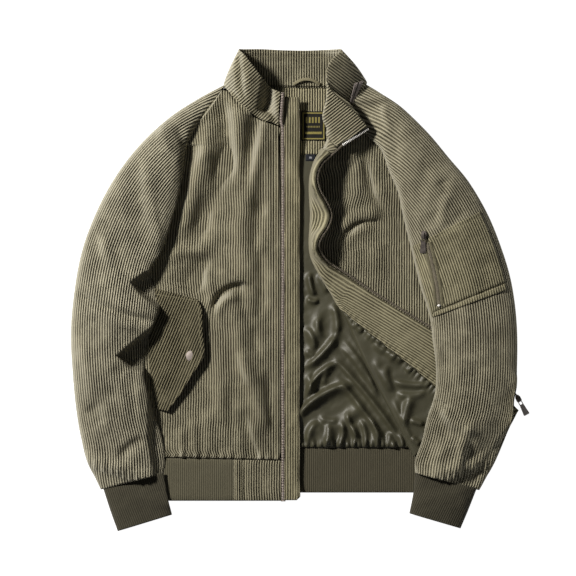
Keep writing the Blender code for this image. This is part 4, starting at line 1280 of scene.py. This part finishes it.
def left_rise(x, y):
    seam = np.where((x > 212) & (x < 326), y - (-35.3 + (x - 212) * 0.41), 60.0)
    upper = np.where((x > 216) & (x < 289), y - (86 + (x - 220) * 0.5), 60.0)
    sewn = -4.0 * bell(seam / 2.6) - bell(upper / 2.2)
    low = creases(LEFT_CREASES, x, y) + 1.2 * rumple(x, y, 66, 3.0) + 0.5 * rumple(x, y, 24, 2.0)
    under_pull = -3.0 * bell((x - 197) / 16) * bell((y - 62) / 18)
    return low + hem_gathers(x, y, LEFT_HEM_X) + sewn + under_pull + hollows(LEFT_HOLLOWS, x, y)


left_tube = raised(tube(LEFT_SLEEVE, left_floor), left_rise, tube_sides=True)


def shape_left(place, u, v):
    """Draw the sleeve's head in under the collar, and its side in beside the main zip's pull."""
    place[:, 0] -= 3.0 * bell((place[:, 0] - 345) / 14) * bell((place[:, 1] + 175) / 18)
    head = smooth(0.2, 0.05, v) * ((1 - np.cos(math.tau * u)) / 2) ** 2
    end = smooth(0.06, 0, v)
    place[:, 0] -= 20 * head + 9 * end
    place[:, 1] += 5 * end - 5 * head
    place[:, 2] -= 3 * head
    over_cuff(place, v, -0.26)


left_sleeve_shape = reshaped(left_tube, shape_left)
lay_left = lay_round(tube(LEFT_SLEEVE, level), LEFT_SLEEVE, 0.84)
sew(
    "left_sleeve", left_sleeve_shape, SLEEVE_CELLS, SHELL, cord_left, lay_left, "corduroy",
    ["floor", "left_front_cloth"], closed=True,
)

# %% [markdown]
# ## Cuffs
# Each cuff is a doubled tube of rib knit. Its ribs run with the arm, and it is narrower than the sleeve,
# which is why the sleeve's end stands in gathers over it.

# %% Both cuffs


def sew_cuff(side, table, floor, seed, middle, flip):
    """A cuff with gentle waves, and a sunk upper end where the sleeve's gathers stand over it."""

    def rise(x, y):
        return 0.6 * rumple(x, y, 30, seed) - 4.5 * smooth(-26, -4, above_hem(x, y, middle))

    flat = tube(table, floor, 0.6)
    shape, lay = raised(flat, rise, tube_sides=True), lay_round(flat, table)
    sew(f"{side}_cuff", shape, (90, 30), RIB, rib_cuff, lay, "rib_knit", ["floor"], closed=True, flip=flip)


sew_cuff("right", RIGHT_CUFF, right_floor, 1.0, RIGHT_HEM_X, True)
sew_cuff("left", LEFT_CUFF, left_floor, 2.0, LEFT_HEM_X, False)

# %% [markdown]
# ## The folded left front
# The left front is one cloth that rolls over itself: its lower layer lies face up, and past the fold it
# comes back with its inner side up. That side is faced with a strip of corduroy along the zip, and lined
# with satin beyond it. The roll stands highest at the chest, where it throws a deep shadow over the lower
# layer.

# %% Creases of the left front
LEFT_FRONT_CREASES = (
    (68, 86, 126, 110, -10, 5.5, -9.5, 0.35), (64, 97, 130, 124, -10, 9, 6.5, 0),
    (72, 76, 118, 98, -8, 8, 2.5, 0), (102, 218, 124, 132, 3, 7, -7, 0.1), (94, 214, 90, 130, 2, 12, 5, 0),
    (122, 204, 132, 130, 3, 10, 3, 0), (146, 118, 158, 72, 2, 7, -7.5, 0), (140, 72, 154, 10, 4, 7, -5, 0),
    (118, 70, 128, 0, 4, 10, 2.5, 0), (176, 50, 184, 10, 2, 8, 2.5, 0), (64, 128, 60, 70, 2, 7, 3, 0),
    (170, -38, 206, -28, 0, 6, -6, 0), (126, 156, 140, 100, 3, 8, -3, 0), (158, 20, 172, -24, 2, 9, -4.5, 0),
    (86, 66, 92, 30, 2, 9, 2.5, 0),
)


def left_rise_at(place, s):
    x, y = place.T[:2]
    under = smooth(2, 16, s)
    low = creases(LEFT_FRONT_CREASES, x, y) + 0.8 * rumple(x, y, 70, 2.0) + 0.4 * rumple(x, y, 26, 1.0)
    side = flow(LEFT_SIDE, y)[:, 0]
    return low * under - 6 * smooth(0, 7, x - side) * smooth(150, 190, y)


def left_cloth_layer(s, v):
    place = left_layer(s, v)
    z = place[:, 2]
    place[:, 2] = np.maximum(z + left_rise_at(place, s), np.minimum(z, ON_LINING))
    return place


def zip_edge(v):
    return -left_reach(v)[0]


def side_edge(v):
    return left_reach(v)[1] + 9 * smooth(0.2, 0.12, v)


def facing_end(v):
    return zip_edge(v) + flow(LEFT_FACING, v)[:, 0]


half_way = np.array([0.5])
print("from its fold the left front reaches", zip_edge(half_way).round(), side_edge(half_way).round(), "mm")

# %% Sew the left front and its facing
LAST = 0.9992  # v of the front's last row, a hair short of its rib
left_front_shape = left_band((0, LAST), zip_edge, side_edge, left_cloth_layer)
lay, under = lay_straight(left_front_shape), ["back_lining_cloth"]
sew("left_front", left_front_shape, (140, 206), SHELL, cord_front, lay, "corduroy", under, held="folded")
FACED = (0.03, LAST)  # the stretch of the front that is faced
turned_over = {"inward": False, "held": "folded"}


def pucker_facing(place, u, v):
    """Gathers along the facing's inner seam, and a soft bow of its face."""
    down = v * 560
    gathers = puckers(down, (1 - u) * 60, 9.0, 12.0, 1.6) * smooth(0.35, 0.55, v)
    place[:, 2] += gathers + 0.5 * rumple(down, u * 50, 55, 3.0)


def lay_facing(u, v, place, mid):
    return points(u * flow(LEFT_FACING, between(FACED, v))[:, 0], v * 620)


facing_shape = reshaped(proud(left_band(FACED, zip_edge, facing_end), 7.5 * GAP), pucker_facing)
under = ["left_front_cloth"]
sew("left_facing", facing_shape, (36, 230), LINING, cord_pale, lay_facing, "corduroy", under, **turned_over)

# %% Sew the turned lining, its hem block and its rib
ROWS_LINED = 10
HEMMED = (1.0, 1.115)  # the stretch of the front that its hem block and rib stand for


def lining_start(v):
    return facing_end(v) + 1


def lining_end(v):
    return np.maximum(9.0, facing_end(v) + 4)


TURNED_CREASES = (
    (70, -38, 84, -60, 2, 5, 5.5, 0.2), (88, -50, 100, -66, 2, 4.5, 4.5, 0.2),
    (104, -66, 140, -86, 3, 5, 4.5, 0.2), (116, -86, 160, -104, 3, 5, 4.5, 0.2),
    (140, -104, 172, -108, 2, 6, 5, 0.2), (136, -122, 146, -160, 3, 7, 5, 0.2),
    (150, -146, 206, -150, 3, 4.5, 5.5, 0.2), (156, -166, 198, -164, 3, 5, 5, 0.2),
    (176, -172, 166, -216, 3, 7, 8, -0.2), (150, -180, 178, -244, 3, 6, 5, 0),
    (176, -208, 196, -214, 0, 4, 5, 0), (168, -128, 184, -116, 2, 6, 4, 0),
    (120, -110, 140, -150, 3, 8, 3.5, 0), (178, -236, 190, -246, 0, 4, 4.5, 0),
)


def turned_rise(x, y):
    from_facing = (y + 31) + (x - 74) * 0.86
    gathers = puckers(x * 0.8 - y * 0.6, -from_facing * 0.76, 10.0, 10.0, 3.4)
    low = creases(TURNED_CREASES, x, y) + 0.7 * rumple(x, y, 30, 4.0) + gathers
    return np.maximum(low, -0.7) * smooth(-2, 10, x - left_fold_x(y))


lined = (LAST * (1 - ROWS_LINED / LEFT_ROWS), LAST)
turned_band = proud(left_band(lined, lining_start, lining_end), 5 * GAP)
turned_shape, lay = raised(turned_band, turned_rise), lay_straight(turned_band)
sew("left_lining", turned_shape, (96, 124), LINING, satin, lay, "satin_lining", under, **turned_over)


def block_start(v):
    return zip_edge(v) + 7 * smooth(1.03, 1.10, v)


def drop_corner(place, u, v):
    """Draw out the block's lower corner, which shows as a wedge beside the sleeve."""
    low = smooth(0.35, 0.95, v)
    place[:, 0] += 6 * low * smooth(0.25, 0, u)
    place[:, 1] -= low * (12 + 15 * smooth(0, 0.22, u)) * smooth(0.65, 0.3, u)
    place[:, 2] += (np.minimum(place[:, 2], 3.05) - place[:, 2]) * smooth(0.1, 0.5, low)


hem_block_shape = reshaped(left_band(HEMMED, block_start, lambda v: zip_edge(v) + 75), drop_corner)
lay = lay_straight(hem_block_shape)
sew("left_hem_block", hem_block_shape, (36, 24), RIB, cord_front, lay, "corduroy", under, held="folded")
hem_rib_shape = left_band(HEMMED, lambda v: zip_edge(v) + 75.6, side_edge)
lay, under = lay_straight(hem_rib_shape), ["back_hem_rib_cloth"]
sew("left_hem_rib", hem_rib_shape, (96, 24), RIB, rib_hem, lay, "rib_knit", under, held="folded")

# %% [markdown]
# ## Collar
# The collar is a two-layer strip that stands up at the sides, lies back behind the neck and rolls outwards
# at the left zip. Its wales stand square to the neck seam, so their direction changes from the right front
# round to the left.

# %% Shape and wales of the collar
COLLAR_CREASES = (
    (-50, 338, -66, 276, -6, 9, -11, 0.1), (-82, 350, -90, 292, 2, 9, 5, 0),
    (-40, 318, -38, 280, 0, 5, 3, 0), (-98, 384, -88, 300, 2, 6, -5, 0), (20, 372, 60, 360, 3, 6, 1.5, 0),
    (-60, 366, -20, 372, 2, 5, -1.2, 0), (-50, 352, -20, 332, 3, 10, -2.5, 0),
    (40, 340, 46, 300, 2, 9, 2, 0),
)


def crease_collar(place, u, v):
    """Creases, which don't take the cloth under the neck seam's own height."""
    x, y, z = place.T
    rise = creases(COLLAR_CREASES, x, y) + 0.5 * rumple(x, y, 44, 5.0)
    place[:, 2] = np.maximum(z + rise, np.minimum(z, 5.0))


def seat_collar(place, u, v):
    """Rest the shell's lower edge on the right front."""
    x, y, z = place.T
    near = smooth(0.3, 0.08, v) * smooth(-40, -52, x) * smooth(324, 313, y)
    place[:, 2] = z + np.clip(right_top(x, y) + SHELL + 0.4 - z, 0, 14) * near


def lay_collar(left_turn):
    """UV whose wales turn with the neck seam: on the right, behind the neck, and at the left zip."""

    def lay(u, v, place, mid):
        at = np.interp(mid, np.linspace(0, 1, len(COLLAR)), [row[0] for row in COLLAR])
        turn = np.radians(np.where(at < 0.41, 42.0, np.where(at < 0.835, 90.0, left_turn)))
        return turned(place, turn)

    return lay


outer = by_rows(part_of(collar_shape, (0, 1), (-0.03, 1)), COLLAR)
shell_shape = reshaped(reshaped(outer, crease_collar), seat_collar)
inner = by_rows(part_of(proud(collar_shape, 6 * GAP), (0, 1), (0.02, 0.97)), COLLAR)
inner_shape = reshaped(inner, crease_collar)
lay, under = lay_collar(-36.0), ["back_neck_facing_cloth"]
sew("collar", shell_shape, (300, 26), SHELL, cord_front, lay, "corduroy", under, held="folded")
lay, under = lay_collar(38.0), ["collar_cloth"]
sew("collar_facing", inner_shape, (300, 26), LINING, cord_front, lay, "corduroy", under, **turned_over)

# %% Sleeve pocket patch
patch_shape = part_of(proud(left_sleeve_shape, 3 * GAP), SLEEVE_POCKET_U, SLEEVE_POCKET_V)


def lay_patch(u, v, place, mid):
    """The sleeve's own wales, set off by part of a wale."""
    at_u, at_mid = between(SLEEVE_POCKET_U, u), between(SLEEVE_POCKET_U, mid)
    return lay_left(at_u, between(SLEEVE_POCKET_V, v), place, at_mid) + np.array((1.6, 0))


lay, under = lay_patch, ["left_sleeve_cloth"]
sew("sleeve_pocket", patch_shape, (60, 60), LINING, cord_pale, lay, "corduroy", under, inward=False)

# %% [markdown]
# ## Routes, teeth and stitches
# A zip chain, a seam and a strap all follow a route. The route is a list of places, and a function gives the
# way up out of the cloth at each share of it. Teeth and stitches are one small bevelled shape each, repeated
# at the real pitch and joined into a single mesh, because hundreds of separate objects would only slow the
# scene down.

# %% Following a route


def spaced(route, pitch):
    """Places every pitch along a route of points, with the run's direction at each."""
    route = np.array(route, float)
    lengths = np.concatenate([[0], np.cumsum(np.linalg.norm(np.diff(route, axis=0), axis=1))])
    at = np.arange(pitch / 2, lengths[-1], pitch)
    place = read_columns(route, lengths, at)
    run = read_columns(route, lengths, at + 0.5) - read_columns(route, lengths, at - 0.5)
    return place, unit(run), at / lengths[-1]


def place_piece(name, bm, cloth, node=None):
    """A finished mesh piece from a bmesh in millimetres."""
    bmesh.ops.scale(bm, vec=(MM, MM, MM), verts=bm.verts)
    piece = in_scene(name, bm, cloth)
    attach(piece, "jacket")
    if node:
        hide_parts(node)


def axes_at(place, run, up):
    """A frame with x along the run and z near up."""
    x = Vector(run).normalized()
    y = Vector(up).cross(x).normalized()
    z = x.cross(y)
    here = Matrix((x, y, z)).transposed().to_4x4()
    here.translation = Vector(place)
    return here


def repeated(name, route, up, pitch, size, cloth, node=None, offset=0.0):
    """Small bevelled blocks along a route: size is along it, across it and high."""
    bm = bmesh.new()
    places, runs, shares = spaced(route, pitch)
    for place, run, share in zip(places, runs, shares):
        here = axes_at(place, run, up(share)) @ Matrix.Translation((0, 0, offset))
        bmesh.ops.create_cube(bm, size=1, matrix=here @ Matrix.Diagonal((*size, 1)))
    rounded = {"offset": min(size) * 0.28, "affect": "EDGES", "segments": 1, "profile": 0.5, "material": -1}
    bmesh.ops.bevel(bm, geom=bm.edges[:], **rounded)
    print(f"{name}: {len(places)} of them, {pitch} mm apart")
    place_piece(name, bm, cloth, node)


def straight_up(share):
    return Vector((0, 0, 1))


TEETH = 2.6  # pitch of the main zip's teeth
STITCH, STITCH_PITCH = (2.4, 0.75, 0.6), 3.2
print("route tools ready")

# %% [markdown]
# ## Zips
# Each front edge carries one half of the zip: a woven tape with a cord along its edge, and nickel teeth
# clamped on it every 2.6 mm. The right half runs up the front and the collar. The left half follows the
# turned edge.

# %% The right zip
zip_y = np.linspace(HEM_EDGE - 1, 262, 150)
zip_z = right_front_top(np.full_like(zip_y, ZIP_X), zip_y) - 1.0 + 0.5 * rumple(zip_y, 0, 60, 1.0)
zip_x = ZIP_X + 1.2 + 0.5 * rumple(zip_y, 9, 110, 4.0)
collar_end = collar_shape(np.zeros(24), np.linspace(0.06, 1.0, 24)) + np.array((3.6, 0, 0.4))
right_chain = np.vstack((points(zip_x, zip_y, zip_z), collar_end))
size = (1.8, 4.6, 2.4)
repeated("right_zip_teeth", right_chain, straight_up, TEETH, size, nickel, node="right_zip")
size = (2.5, 7.4, 1.7)
repeated("right_zip_cord", right_chain, straight_up, TEETH, size, zip_tape, offset=-0.8)

# %% The left zip
CHAIN_OUT = 3.4  # how far the teeth stand out of the cloth's edge
chain_v = np.linspace(LAST / LEFT_ROWS, ZIP_END, 260)
chain_run = left_layer(zip_edge(chain_v) - CHAIN_OUT, chain_v)
chain_in = left_layer(zip_edge(chain_v) + 2, chain_v)
high = np.linspace(0.97, 0.12, 30)
neck_end, before = collar_shape(np.full(30, 1.0), high), collar_shape(np.full(30, 0.99), high)
neck_out = unit(neck_end - before)
left_chain = np.vstack((neck_end + neck_out * CHAIN_OUT, chain_run))
out_of_cloth = np.vstack((neck_out, unit(chain_run - chain_in)))
chain_steps = np.linalg.norm(np.diff(left_chain, axis=0), axis=1)
chain_share = np.concatenate([[0], np.cumsum(chain_steps)]) / chain_steps.sum()
ON_LAPEL = 0.075  # the share of the chain that runs along the collar


def chain_up(share):
    """Square to the run and to the way out of the cloth, on its upper side."""
    behind, ahead = (read_columns(left_chain, chain_share, share + step) for step in (-0.004, 0.004))
    up = Vector(read_columns(out_of_cloth, chain_share, share)).cross(Vector(ahead - behind))
    return up if up.z > 0 else -up


def front_up(share):
    return chain_up(between((ON_LAPEL, 1), share))


def lapel_up(share):
    return chain_up(ON_LAPEL * share)


split = int(np.searchsorted(chain_share, ON_LAPEL))
route, size = left_chain[split:], (1.5, 2.5, 1.8)
repeated("left_zip_teeth", route, front_up, TEETH, size, dark_nickel, node="left_zip")
route, size = left_chain[: split + 1], (1.7, 4.0, 2.4)
# The lapel's teeth take the near-white copy of the nickel: painted highlight.
repeated("lapel_zip_teeth", route, lapel_up, TEETH, size, highlight_nickel, node="left_zip")
repeated("left_zip_cord", left_chain, chain_up, TEETH, (2.5, 3.3, 1.3), zip_tape)

# %% [markdown]
# ## Sleeve pocket zip
# The pocket's zip is sewn in under a narrow slot. Its chain shows as a line of small teeth between two
# welts, from the slider at the top to a stop at the lower end, whose near-white colour is a painted
# highlight.

# %% Pocket zip and its stop


def on_sleeve(shape, x, y):
    """The point of the sleeve's top over x, y, and the normal there."""
    u, v = np.meshgrid(np.linspace(0.02, 0.48, 240), np.linspace(0.3, 0.6, 240))
    found = shape(u.ravel(), v.ravel())
    near = np.hypot(found[:, 0] - x, found[:, 1] - y).argmin()
    u, v = u.ravel()[near : near + 1], v.ravel()[near : near + 1]
    normal = proud(shape, 1.0)(u, v) - shape(u, v)
    return found[near], normal[0]


seats = [on_sleeve(left_sleeve_shape, x, y) for x, y in POCKET_SLOT]
slot_route = np.array([place + normal * (GAP * 4 + LINING + 0.7) for place, normal in seats])
slot_normal = Vector(seats[2][1])
slot_way = Vector(slot_route[-1] - slot_route[0]).normalized()
slot_side = np.array(slot_normal.cross(slot_way).normalized())


def off_sleeve(share):
    return slot_normal


size = (1.5, 5.2, 1.4)
repeated("pocket_zip_teeth", slot_route, off_sleeve, 1.9, size, coil, node="pocket_zip")
for side, name in ((-1, "left"), (1, "right")):
    welt = slot_route + slot_side * side * 5.4 - np.array(slot_normal) * 0.6
    repeated(f"pocket_welt_{name}", welt, off_sleeve, 2.2, (2.5, 5.0, 1.8), cord_pale)
# The stop is near white: a painted highlight.
stop, size = slot_route[-1:] + np.array(slot_way) * np.array([[0.0], [3.0]]), (3.4, 5.0, 2.8)
repeated("pocket_zip_stop", stop, off_sleeve, 3.0, size, highlight_nickel, offset=0.7)

# %% [markdown]
# ## Stud cap
# The flap closes with a pressed metal cap: a flat dome with a rolled rim. Half of its section, spun once
# round its axis, gives the whole cap.

# %% Spin the stud cap
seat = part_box("snap_cap")[0].z / MM
SECTION = (
    (0, 2.9), (3, 2.85), (5.6, 2.6), (7.2, 2.15), (7.9, 1.95), (8.5, 2.1), (8.9, 1.7), (9, 1), (8.8, 0.3),
    (8.2, 0), (0, 0),
)
bm = bmesh.new()
rim = [bm.verts.new((radius, 0, height)) for radius, height in SECTION]
edges = [bm.edges.new(pair) for pair in zip(rim, rim[1:])]
bmesh.ops.spin(bm, geom=rim + edges, cent=(0, 0, 0), axis=(0, 0, 1), angle=math.tau, steps=40, use_merge=True)
bmesh.ops.remove_doubles(bm, verts=bm.verts, dist=1e-3)
bmesh.ops.recalc_face_normals(bm, faces=bm.faces)
bm.verts.index_update()
bm.faces.sort(key=lambda face: math.prod(1 + corner.index for corner in face.verts))  # alike in every run
bmesh.ops.translate(bm, vec=(*SNAP, seat), verts=bm.verts)
place_piece("stud_cap", bm, stud_nickel, "snap_cap")
print("stud cap 18 mm across")

# %% [markdown]
# ## Labels
# The neck label is sewn flat on the yoke by its four sides, and a small size label hangs from the yoke's
# seam.

# %% Both labels


def lay_label(u, v, place, mid):
    return points(u, v) / MM


def label_shape(name, x_range, y_range):
    """A label with a slight curl, on top of its solid."""
    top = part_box(name)[1].z / MM

    def shape(u, v):
        x, y = between(x_range, u), between(y_range, v)
        return points(x, y, top + 0.25 * rumple(x, y, 21, 1.0))

    return shape


shape, under = label_shape("neck_label", (1, 40), (240, 287)), ["back_neck_facing_cloth"]
sew("neck_label", shape, (30, 36), LABEL, neck_cloth, lay_label, "woven_label", under)
shape, under = label_shape("size_label", (8, 24), (207.5, 218.1)), ["back_lining_cloth"]
sew("size_label", shape, (12, 8), LABEL, size_cloth, lay_label, "woven_label", under)
print("labels sewn")

# %% [markdown]
# ## Neck tape and hanger loop
# Two runs of ribbed grosgrain cross the outer face of the collar beside the left roll, with a near-black
# line painted between them as the shade in their gap. The hanger loop is a narrow strap of corduroy that
# arches out of the neck seam.

# %% Neck tape
outer_face = proud(collar_shape, -SHELL - 3 * GAP)
net = np.meshgrid(np.linspace(0.76, 0.96, 50), np.linspace(0.0, 0.8, 40))
collar_places = outer_face(net[0].ravel(), net[1].ravel())


def tape_shape(u, v):
    """A tape that narrows from 16 mm to a tip, laid on the collar's outer face."""
    place = between((points(90 - 12 * v, 349 - 51 * v), points(102 - 19 * v, 338 - 39 * v)), u[:, None])
    apart = ((place[:, None] - collar_places[None, :, :2]) ** 2).sum(axis=2)
    near = np.exp(-(apart - apart.min(axis=1, keepdims=True)) / 8)
    return points(place[:, 0], place[:, 1], near @ collar_places[:, 2] / near.sum(axis=1) + 0.9)


def lay_tape(u, v, place, mid):
    return points(v * 51, u * 16)


sew("neck_tape", tape_shape, (16, 24), LINING, grosgrain, lay_tape, "neck_tape", ["collar_cloth"])

# %% Hanger loop
loop_plan = ((-12, 329.5), (-6, 333.5), (2, 337), (9, 338), (17, 337), (26, 333), (31, 329.5))
loop_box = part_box("hanger_loop")
loop_height = (loop_box[0].z + loop_box[1].z) / 2 / MM
arch = 4.6 * np.sin(np.linspace(0, math.pi, len(loop_plan)))
loop_table = np.column_stack((np.linspace(0, 1, len(loop_plan)), loop_plan, loop_height + arch))


def loop_shape(u, v):
    """A tube round the strap's route, with a flattened section."""
    turn = math.tau * u
    ahead = flow(loop_table, np.minimum(v + 0.01, 1)) - flow(loop_table, np.maximum(v - 0.01, 0))
    side = points(-ahead[:, 1], ahead[:, 0], 0) / np.hypot(ahead[:, 0], ahead[:, 1])[:, None]
    wide = 2.3 * np.sign(np.cos(turn)) * np.abs(np.cos(turn)) ** 0.6
    high = 1.1 * np.sign(np.sin(turn)) * np.abs(np.sin(turn)) ** 0.6
    return flow(loop_table, v) + side * wide[:, None] + points(0, 0, high)


bm = grid_of(loop_shape, 20, 50, closed=True)
open_edges = [edge for edge in bm.edges if edge.is_boundary]
for end in (-1, 1):
    bmesh.ops.contextual_create(bm, geom=[e for e in open_edges if (e.verts[0].co.x - 0.01) * end > 0])
bmesh.ops.recalc_face_normals(bm, faces=bm.faces)
bmesh.ops.scale(bm, vec=(1 / MM,) * 3, verts=bm.verts)
cord_loop = corduroy("cotton corduroy, loop", "#827C65", "#3A3628", depth=0.5, seed=0.5)
place_piece("hanger_strap", bm, cord_loop, "hanger_loop")
print("hanger strap runs through", len(loop_plan), "places")

# %% [markdown]
# ## Stitching
# Topstitching is what holds a folded edge flat. Each stitch is a small rounded bar of thread, 2.4 mm long
# every 3.2 mm, lying in the surface of the cloth along its seam. A seam is given by the shape it runs on,
# how high above it, from which u to which, from which v to which, and how many places its route is read at.

# %% Topstitched seams
back_u = np.searchsorted([row[0] for row in COLLAR], (0.45, 0.79)) / (len(COLLAR) - 1)
SEAMS = {
    "collar_top": (inner_shape, 1.0, back_u, (0.86, 0.86), 120),
    "collar_front": (shell_shape, 0.3, (0.02, 0.36), (0.9, 0.9), 120),
    "block": (block_shape, 0, (0.16, 0.16), (0.05, 0.95), 40),
    "flap": (flap_cloth, 0, (0.08, 0.96), (0.965, 0.965), 60),
    "flap_side": (flap_cloth, 0, (0.94, 0.94), (0.06, 0.94), 80),
    "fly": (fly_shape, 0, (0.8, 0.8), (0.01, 0.99), 120),
    "front_edge": (front_shape, 0, (0.965, 0.965), (0.01, 0.86), 200),
    "raglan": (front_shape, 0, (0.02, 0.02), (0.62, 0.98), 120),
    "facing": (facing_shape, 1.1, (0.93, 0.93), (0.5, 0.98), 120),
    "facing_edge": (facing_shape, 1.1, (0.1, 0.1), (0.06, 0.98), 240),
    "pocket_low": (patch_shape, 1.1, (0.04, 0.96), (0.95, 0.95), 80),
    "pocket_top": (patch_shape, 1.1, (0.04, 0.7), (0.05, 0.05), 80),
}
for name, (shape, height, u_run, v_run, count) in SEAMS.items():
    share = np.linspace(0, 1, count)
    route = proud(shape, height)(between(u_run, share), between(v_run, share))
    repeated(f"{name}_stitch", route, straight_up, STITCH_PITCH, STITCH, thread, offset=-0.1)

# %% [markdown]
# ## Sliders and pulls
# The sliders and pulls keep their solids, whose shape is right. The main zip's pull gets a near-white
# nickel, painted light for the sleeve's shade over it, and the other three the gunmetal finish.

# %% Finish the sliders and pulls
for node in ("main_slider", "main_pull", "pocket_slider", "pocket_pull"):
    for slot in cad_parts[node].material_slots:
        slot.material = pull_nickel_lit if node == "main_pull" else gunmetal
print("main pull in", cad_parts["main_pull"].material_slots[0].material.name)

# %% [markdown]
# ## Camera, light and floor
# The camera looks straight down from far away, so nothing leans. One large soft light stands at the upper
# left, low enough to draw the creases. A weak second light and the pale surroundings fill the shadows. The
# floor is white and lit from within, as a light table is, so it stays white in the shade of the jacket.

# %% Camera
FIELD, DISTANCE, SENSOR = 0.9216, 12.0, 36.0  # metres seen across, metres up, millimetres
FOCUS_HEIGHT = 0.02  # where FIELD is measured
camera_data = bpy.data.cameras.new("camera")
camera = bpy.data.objects.new("camera", camera_data)
bpy.context.scene.collection.objects.link(camera)
bpy.context.scene.camera = camera
camera_data.sensor_width = SENSOR
camera_data.lens = SENSOR * (DISTANCE - FOCUS_HEIGHT) / FIELD
camera_data.clip_start, camera_data.clip_end = 0.1, 100.0
camera.location = (-0.0203, 0.0038, DISTANCE)
camera.rotation_euler = (0, 0, 0)
print("camera lens", round(camera_data.lens, 1), "mm")

# %% Lights and surroundings


def area_light(name, place, size, power, colour):
    data = bpy.data.lights.new(name, "AREA")
    data.shape, data.size, data.energy, data.color = "DISK", size, power, linear(colour)[:3]
    lamp = bpy.data.objects.new(name, data)
    lamp.location = place
    lamp.rotation_mode = "QUATERNION"
    lamp.rotation_quaternion = (-Vector(place)).to_track_quat("-Z", "Y")
    bpy.context.scene.collection.objects.link(lamp)


area_light("key", (-2.3, 1.5, 2.5), 0.62, 186, "#FFFBF4")
area_light("fill", (1.2, -1.8, 3.4), 2.4, 4, "#F7FAFF")
world = bpy.data.worlds.new("pale room")
world.use_nodes = True
background = world.node_tree.nodes["Background"]
background.inputs["Color"].default_value = (1, 1, 1, 1)
background.inputs["Strength"].default_value = 0.05
bpy.context.scene.world = world
bpy.context.scene.view_settings.view_transform = "Standard"

# %% Floor
bm = bmesh.new()
bmesh.ops.create_grid(bm, x_segments=1, y_segments=1, size=4.0)
bmesh.ops.translate(bm, vec=(0, 0, -0.0002), verts=bm.verts)
paper = {"Base_Color": linear("#8C8C8C"), "Roughness": 0.95}
floor_paper = finish("lit white table", Emission_Color=(1, 1, 1, 1), Emission_Strength=1.0, **paper)[0]
floor = in_scene("floor", bm, floor_paper)
print("floor laid")
